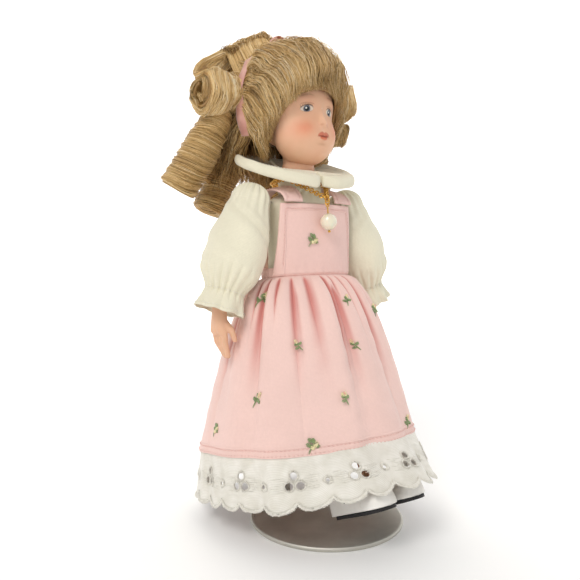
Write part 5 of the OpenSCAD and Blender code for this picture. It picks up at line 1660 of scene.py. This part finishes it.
for side, name in ((RIGHT, "right"), (LEFT, "left")):
    LEG = leg_frame(side) @ shift(0, 0, -87.5 + 1.1 + 0.05)
    S = shoe_rings(1.25)
    S[..., 2] = np.minimum(S[..., 2], 10.6)
    mid = (S[:-1] + S[1:]) / 2
    mid = (mid + np.roll(mid, -1, 1)) / 2
    hole = (mid[..., 2] > 8.8) & ((mid[..., 0] / 4.6) ** 2 + ((mid[..., 1] - 0.4) / 5.0) ** 2 < 1)
    tips = [Vector(put(LEG, c[None])[0] * 0.001) for c in (S[-1].mean(0), S[0].mean(0))]
    ob = grid("shoe_upper_" + name, put(LEG, S), wrap=True, size=(44, 30), keep=~hole.reshape(-1))
    bm = bmesh.new()
    bm.from_mesh(ob.data)
    rim_edges = [e for e in bm.edges if e.is_boundary]
    ends = [e for e in rim_edges if all(min((v.co - c).length for c in tips) < 0.0045 for v in e.verts)]
    bmesh.ops.holes_fill(bm, edges=ends, sides=200)
    loose = [v for v in bm.verts if not v.link_faces]
    bmesh.ops.delete(bm, geom=loose, context="VERTS")
    bmesh.ops.recalc_face_normals(bm, faces=bm.faces)
    for f in bm.faces:
        f.smooth = True
    bm.to_mesh(ob.data)
    bm.free()
    thick(ob, 0.5, -1.0, False)
    give(ob, LEATHER, name + "_leg", ["shoe_" + name])
    a = np.linspace(0, 2 * np.pi, 90, endpoint=False)
    rim = np.stack([4.75 * np.cos(a), 0.4 + 5.15 * np.sin(a), 10.55 + 0.12 * np.cos(2 * a)], -1)[None]
    binding = tubes(put(LEG, rim), 0.55, 8, ref=LEG[:3, 2], name="shoe_binding_" + name, closed=True)
    give(binding, LEATHER, name + "_leg")
    # the strap over the instep and its button
    a = np.linspace(math.radians(8), math.radians(172), 50)
    v = np.linspace(-1.3, 1.3, 9)
    X = 6.35 * np.sign(np.cos(a)) * np.abs(np.cos(a)) ** 0.8
    Zs = 1.6 + 9.5 * np.sin(a) ** 0.62
    strap = np.stack([np.broadcast_to(X[:, None], (50, 9)), v - 5.6 - 0.5 * np.sin(a)[:, None],
                      Zs[:, None] - 0.12 * v ** 2 + 0.10 * v], -1)
    so = grid("shoe_strap_" + name, put(LEG, strap), size=(3, 26))
    thick(so, 0.5, 0.0)
    give(tidy(so), LEATHER, name + "_leg")
    a = np.linspace(0, 2 * np.pi, 24, endpoint=False)
    prof = [(0.02, 0.75), (0.45, 0.68), (0.72, 0.42), (0.78, 0.1), (0.6, -0.25), (0.02, -0.3)]
    button = np.array([[(h, r * np.cos(x), r * np.sin(x)) for x in a] for r, h in prof])
    button = button * np.array([-1, 1, 1]) + np.array([-6.05, -5.8, 4.9])
    give(tidy(grid("shoe_button_" + name, put(LEG, button), wrap=True)), RUBBER, name + "_leg")


# ------------------------------------------------------------ bloomers

w = np.linspace(0, 2 * np.pi, 220, endpoint=False)
P = []
for z in np.linspace(-1.5, -16, 26):
    g = 0.28 * wobble(w + 0.02 * z, 101, 6, 3, 12) + 0.3 * np.exp(-((z + 1.5) / 3) ** 2) * np.sin(30 * w)
    P.append(oval(16.4 + g, 10.4 + g, z, w))
closed_sheet("bloomers_seat_cloth", put(BODY, np.array(P)), (86, 15), 0.4, LAWN, "doll",
             ["bloomers_seat"])
for side, name in ((RIGHT, "right"), (LEFT, "left")):
    P = []
    for s in runs((5, 34, 40), (34, 42, 26)):
        r = np.interp(s, [5, 20, 36, 39, 42], [7.2, 7.4, 7.2, 6.3, 7.0])
        g = 0.34 * wobble(w + 0.05 * s, 103 + side, 6, 3, 9) * smooth_step(5, 12, s) * smooth_step(39, 33, s)
        g = g + 0.4 * np.exp(-abs(s - 39) / 3.5) * (np.abs(np.sin(10 * w)) ** 0.8 - 0.6)
        g = g + 0.45 * smooth_step(39.5, 42, s) * np.sin(9 * w + side)
        P.append(oval(r + g, r + g, -s, w))
    closed_sheet("bloomer_leg_cloth_" + name, put(leg_frame(side), np.array(P)), (46, 38), 0.4, LAWN,
                 name + "_leg", ["bloomer_leg_" + name])


# ------------------------------------------------------------ necklace

LINK_R, LINK_WIRE, BAIL_R, CHAIN_R = 0.92, 0.28, 1.25, 12.0
neck_end = np.array([CHAIN_R * math.sin(math.radians(65)), -CHAIN_R * math.cos(math.radians(65)), 40.2])
bail = np.array([0, -17.5, 30.0])
arm_len = np.linalg.norm(neck_end - bail)
arc_len = math.pi * CHAIN_R * 115 / 180
first_link = BAIL_R + 1.2 - 3.2 * LINK_WIRE
side_links = round((arm_len + arc_len - first_link) / (1.84 * (1.2 - 2 * LINK_WIRE)))
link_step = (arm_len + arc_len - first_link) / side_links


def chain_at(d):
    if d < arm_len:
        return bail + (neck_end - bail) * d / arm_len
    x = math.radians(65) + (d - arm_len) / CHAIN_R
    return np.array([CHAIN_R * math.sin(x), -CHAIN_R * math.cos(x), 40.2])


def link_path(at, along, roll, r):
    x = unit(along)
    u = unit(np.cross(x, [1.0, 0, 0] if abs(x[2]) > 0.9 else [0, 0, 1.0]))
    v = np.cross(x, u)
    y = u * math.cos(math.radians(roll)) + v * math.sin(math.radians(roll))
    a = np.linspace(0, 2 * np.pi, 22, endpoint=False)[:, None]
    return at + x * r * np.cos(a) + y * r * np.sin(a)


paths = [link_path(bail, np.array([1.0, 0, 0]), 90, BAIL_R)]
for i in range(side_links):
    d = first_link + i * link_step
    p = link_path(chain_at(d), chain_at(d + 0.3) - chain_at(d - 0.3), 90 * (i % 2), LINK_R)
    paths += [p, p * np.array([-1, 1, 1])]
paths.append(link_path(chain_at(arm_len + arc_len), np.array([1.0, 0, 0]), 90 * (side_links % 2), LINK_R))
paths = put(BODY, np.array(paths))
centre = paths.mean(1, keepdims=True)
normal = unit(np.cross(paths[:, :1] - centre, paths[:, 5:6] - centre))
give(tubes(paths, LINK_WIRE, 8, ref=normal, name="necklace_links", closed=True), GOLD, "doll",
     ["necklace_chain"])


# ------------------------------------------------------------ embroidered sprigs

def sprig(cloth, a, b, mm_a, mm_b, lean=0.0, size=1.0, kind=0, sink=0.0):
    """Threads of one flower sprig at a, b of a cloth; mm_a and mm_b are mm per unit of its coordinates."""
    c, s = math.cos(lean), math.sin(lean)
    rng = np.random.default_rng(int(1000 * abs(a) + 77 * abs(b) + kind))

    def lay(x, y, lift):
        x, y, lift = np.broadcast_arrays(np.asarray(x, float), np.asarray(y, float), np.asarray(lift, float))
        x, y = x * size, y * size
        return cloth.at(a + (x * c - y * s) / mm_a, b + (x * s + y * c) / mm_b, lift + sink)

    k = np.linspace(0, 1, 6)
    arch = 0.10 + 0.26 * np.sin(np.pi * k) - 0.16 * (k > 0.97) - 0.16 * (k < 0.03)
    green, bud, rose = [], [], []

    def satin(out, x0, y0, x1, y1, wide, n, skew=0.5, lift=0.0):
        """A leaf or petal filled with slanting stitches."""
        dx, dy = x1 - x0, y1 - y0
        l = math.hypot(dx, dy)
        tx, ty = dx / l, dy / l
        for i in range(n):
            f = (i + 0.5) / n
            h = wide * math.sin(math.pi * f) ** 0.7 + 0.12
            cx, cy = x0 + dx * f, y0 + dy * f
            px, py = -ty * h + tx * h * skew * 0.6, tx * h + ty * h * skew * 0.6
            jx, jy = rng.normal(0, 0.05, 2)
            out.append(lay(cx + jx + px * (2 * k - 1), cy + jy + py * (2 * k - 1), arch + lift))

    for off in (-0.1, 0.12):
        u = k
        green.append(lay(-2.2 + 2.6 * u + off, -2.9 + 3.4 * u + 0.5 * np.sin(np.pi * u) - off, arch * 0.8))
    satin(green, -0.9, -0.9, -2.2, 1.1, 0.75, 8)
    satin(green, 0.1, -0.2, 1.9, -0.9, 0.7, 7, -0.5)
    satin(green, 0.0, 0.3, 0.2, 2.4, 0.8, 8, 0.5)
    if kind == 0:
        satin(bud, 0.7, 0.5, 2.6, 1.7, 1.05, 9, 0.3, 0.1)
        satin(bud, 0.2, 1.2, 1.3, 3.1, 0.8, 7, -0.3, 0.12)
        satin(rose, 1.2, 1.0, 2.1, 2.2, 0.5, 5, 0.2, 0.28)
    elif kind == 1:
        satin(bud, -0.2, -0.2, 1.7, 0.2, 1.1, 9, 0.3, 0.1)
        satin(bud, -0.9, -0.3, -0.1, -1.6, 0.8, 7, 0.4, 0.1)
        satin(green, -0.4, 0.8, -1.4, 2.6, 0.7, 7, 0.5, 0.1)
    else:
        satin(bud, 0.4, 0.9, 2.3, 2.8, 0.8, 8, 0.4, 0.1)
        satin(rose, 1.1, 1.2, 1.9, 2.5, 0.4, 4, 0.2, 0.25)
    return green, bud, rose


SPRIGS = [(-2.89, 0.127, 0.0, 1.05, 0), (-1.53, 0.164, 0.4, 0.7, 2), (-2.301, 0.401, 1.3, 0.75, 2),
          (-1.60, 0.431, 1.2, 0.75, 2), (-2.767, 0.689, 0.0, 1.05, 2), (-1.889, 0.716, 0.9, 0.8, 0),
          (-2.216, 0.945, 0.1, 1.1, 1)]
BACK = [(-0.95, 0.24, 0.2), (-0.80, 0.66, -0.3), (-0.25, 0.42, 0.5), (0.05, 0.82, 0.0), (0.55, 0.24, 0.4),
        (0.85, 0.60, -0.4), (1.35, 0.36, 0.1), (1.55, 0.80, 0.6), (2.05, 0.22, -0.2), (2.30, 0.58, 0.3),
        (2.95, 0.86, 0.1), (-1.10, 0.93, 0.1), (0.9, 0.94, -0.2)]
SPRIGS += [(x, y, z, 0.95, i % 3) for i, (x, y, z) in enumerate(BACK)]
green, bud, rose = [], [], []
for a, b, lean, size, kind in SPRIGS:
    far = 21.5 + 23.5 * b ** 0.55
    g, u, r = sprig(SKIRT, a, b, far, -72.0, lean, size, kind, 0.3 if b > 0.94 else 0.05)
    green, bud, rose = green + g, bud + u, rose + r
g, u, r = sprig(BIB, -0.276, 0.407, 20.0, 26.7, -0.1, 1.05, 1, 0.05)
green, bud, rose = green + g, bud + u, rose + r
for name, items, mat in (("sprig_leaves", green, GREEN_THREAD), ("sprig_buds", bud, BUD_THREAD),
                         ("sprig_blush", rose, ROSE_THREAD)):
    sew(name, [np.array(items)], 0.15, mat, "doll", 4)
# ------------------------------------------------------------ CAD nodes that stay in view

KEEP = {
    "stand_base": STEEL, "post_tube": STEEL, "post_rivet": STEEL, "post_rod": STEEL, "waist_clip": STEEL,
    "clip_ferrule": STEEL, "clip_sleeves": VINYL, "torso": MUSLIN, "shoulder_plate": BISQUE,
    "arm_wire": STEEL, "hip_wire": STEEL, "neck_bolt": STEEL, "neck_spring": STEEL, "neck_nut": STEEL,
    "crown_pate": CARD, "wig_cap": NET, "back_snap": STEEL, "upper_arm_right": MUSLIN,
    "upper_arm_left": MUSLIN, "arm_tie_right": WHITE_THREAD, "arm_tie_left": WHITE_THREAD,
    "cuff_elastic_right": ELASTIC, "cuff_elastic_left": ELASTIC, "thigh_right": MUSLIN, "thigh_left": MUSLIN,
    "shin_right": BISQUE, "shin_left": BISQUE, "sole_right": RUBBER, "sole_left": RUBBER,
    "jump_ring": GOLD, "pearl_pin": GOLD, "pearl": PEARL,
}
for node, ob in NODES.items():
    if not ob.hide_render:
        ob.data.materials.clear()
        ob.data.materials.append(KEEP.get(node, CREAM))
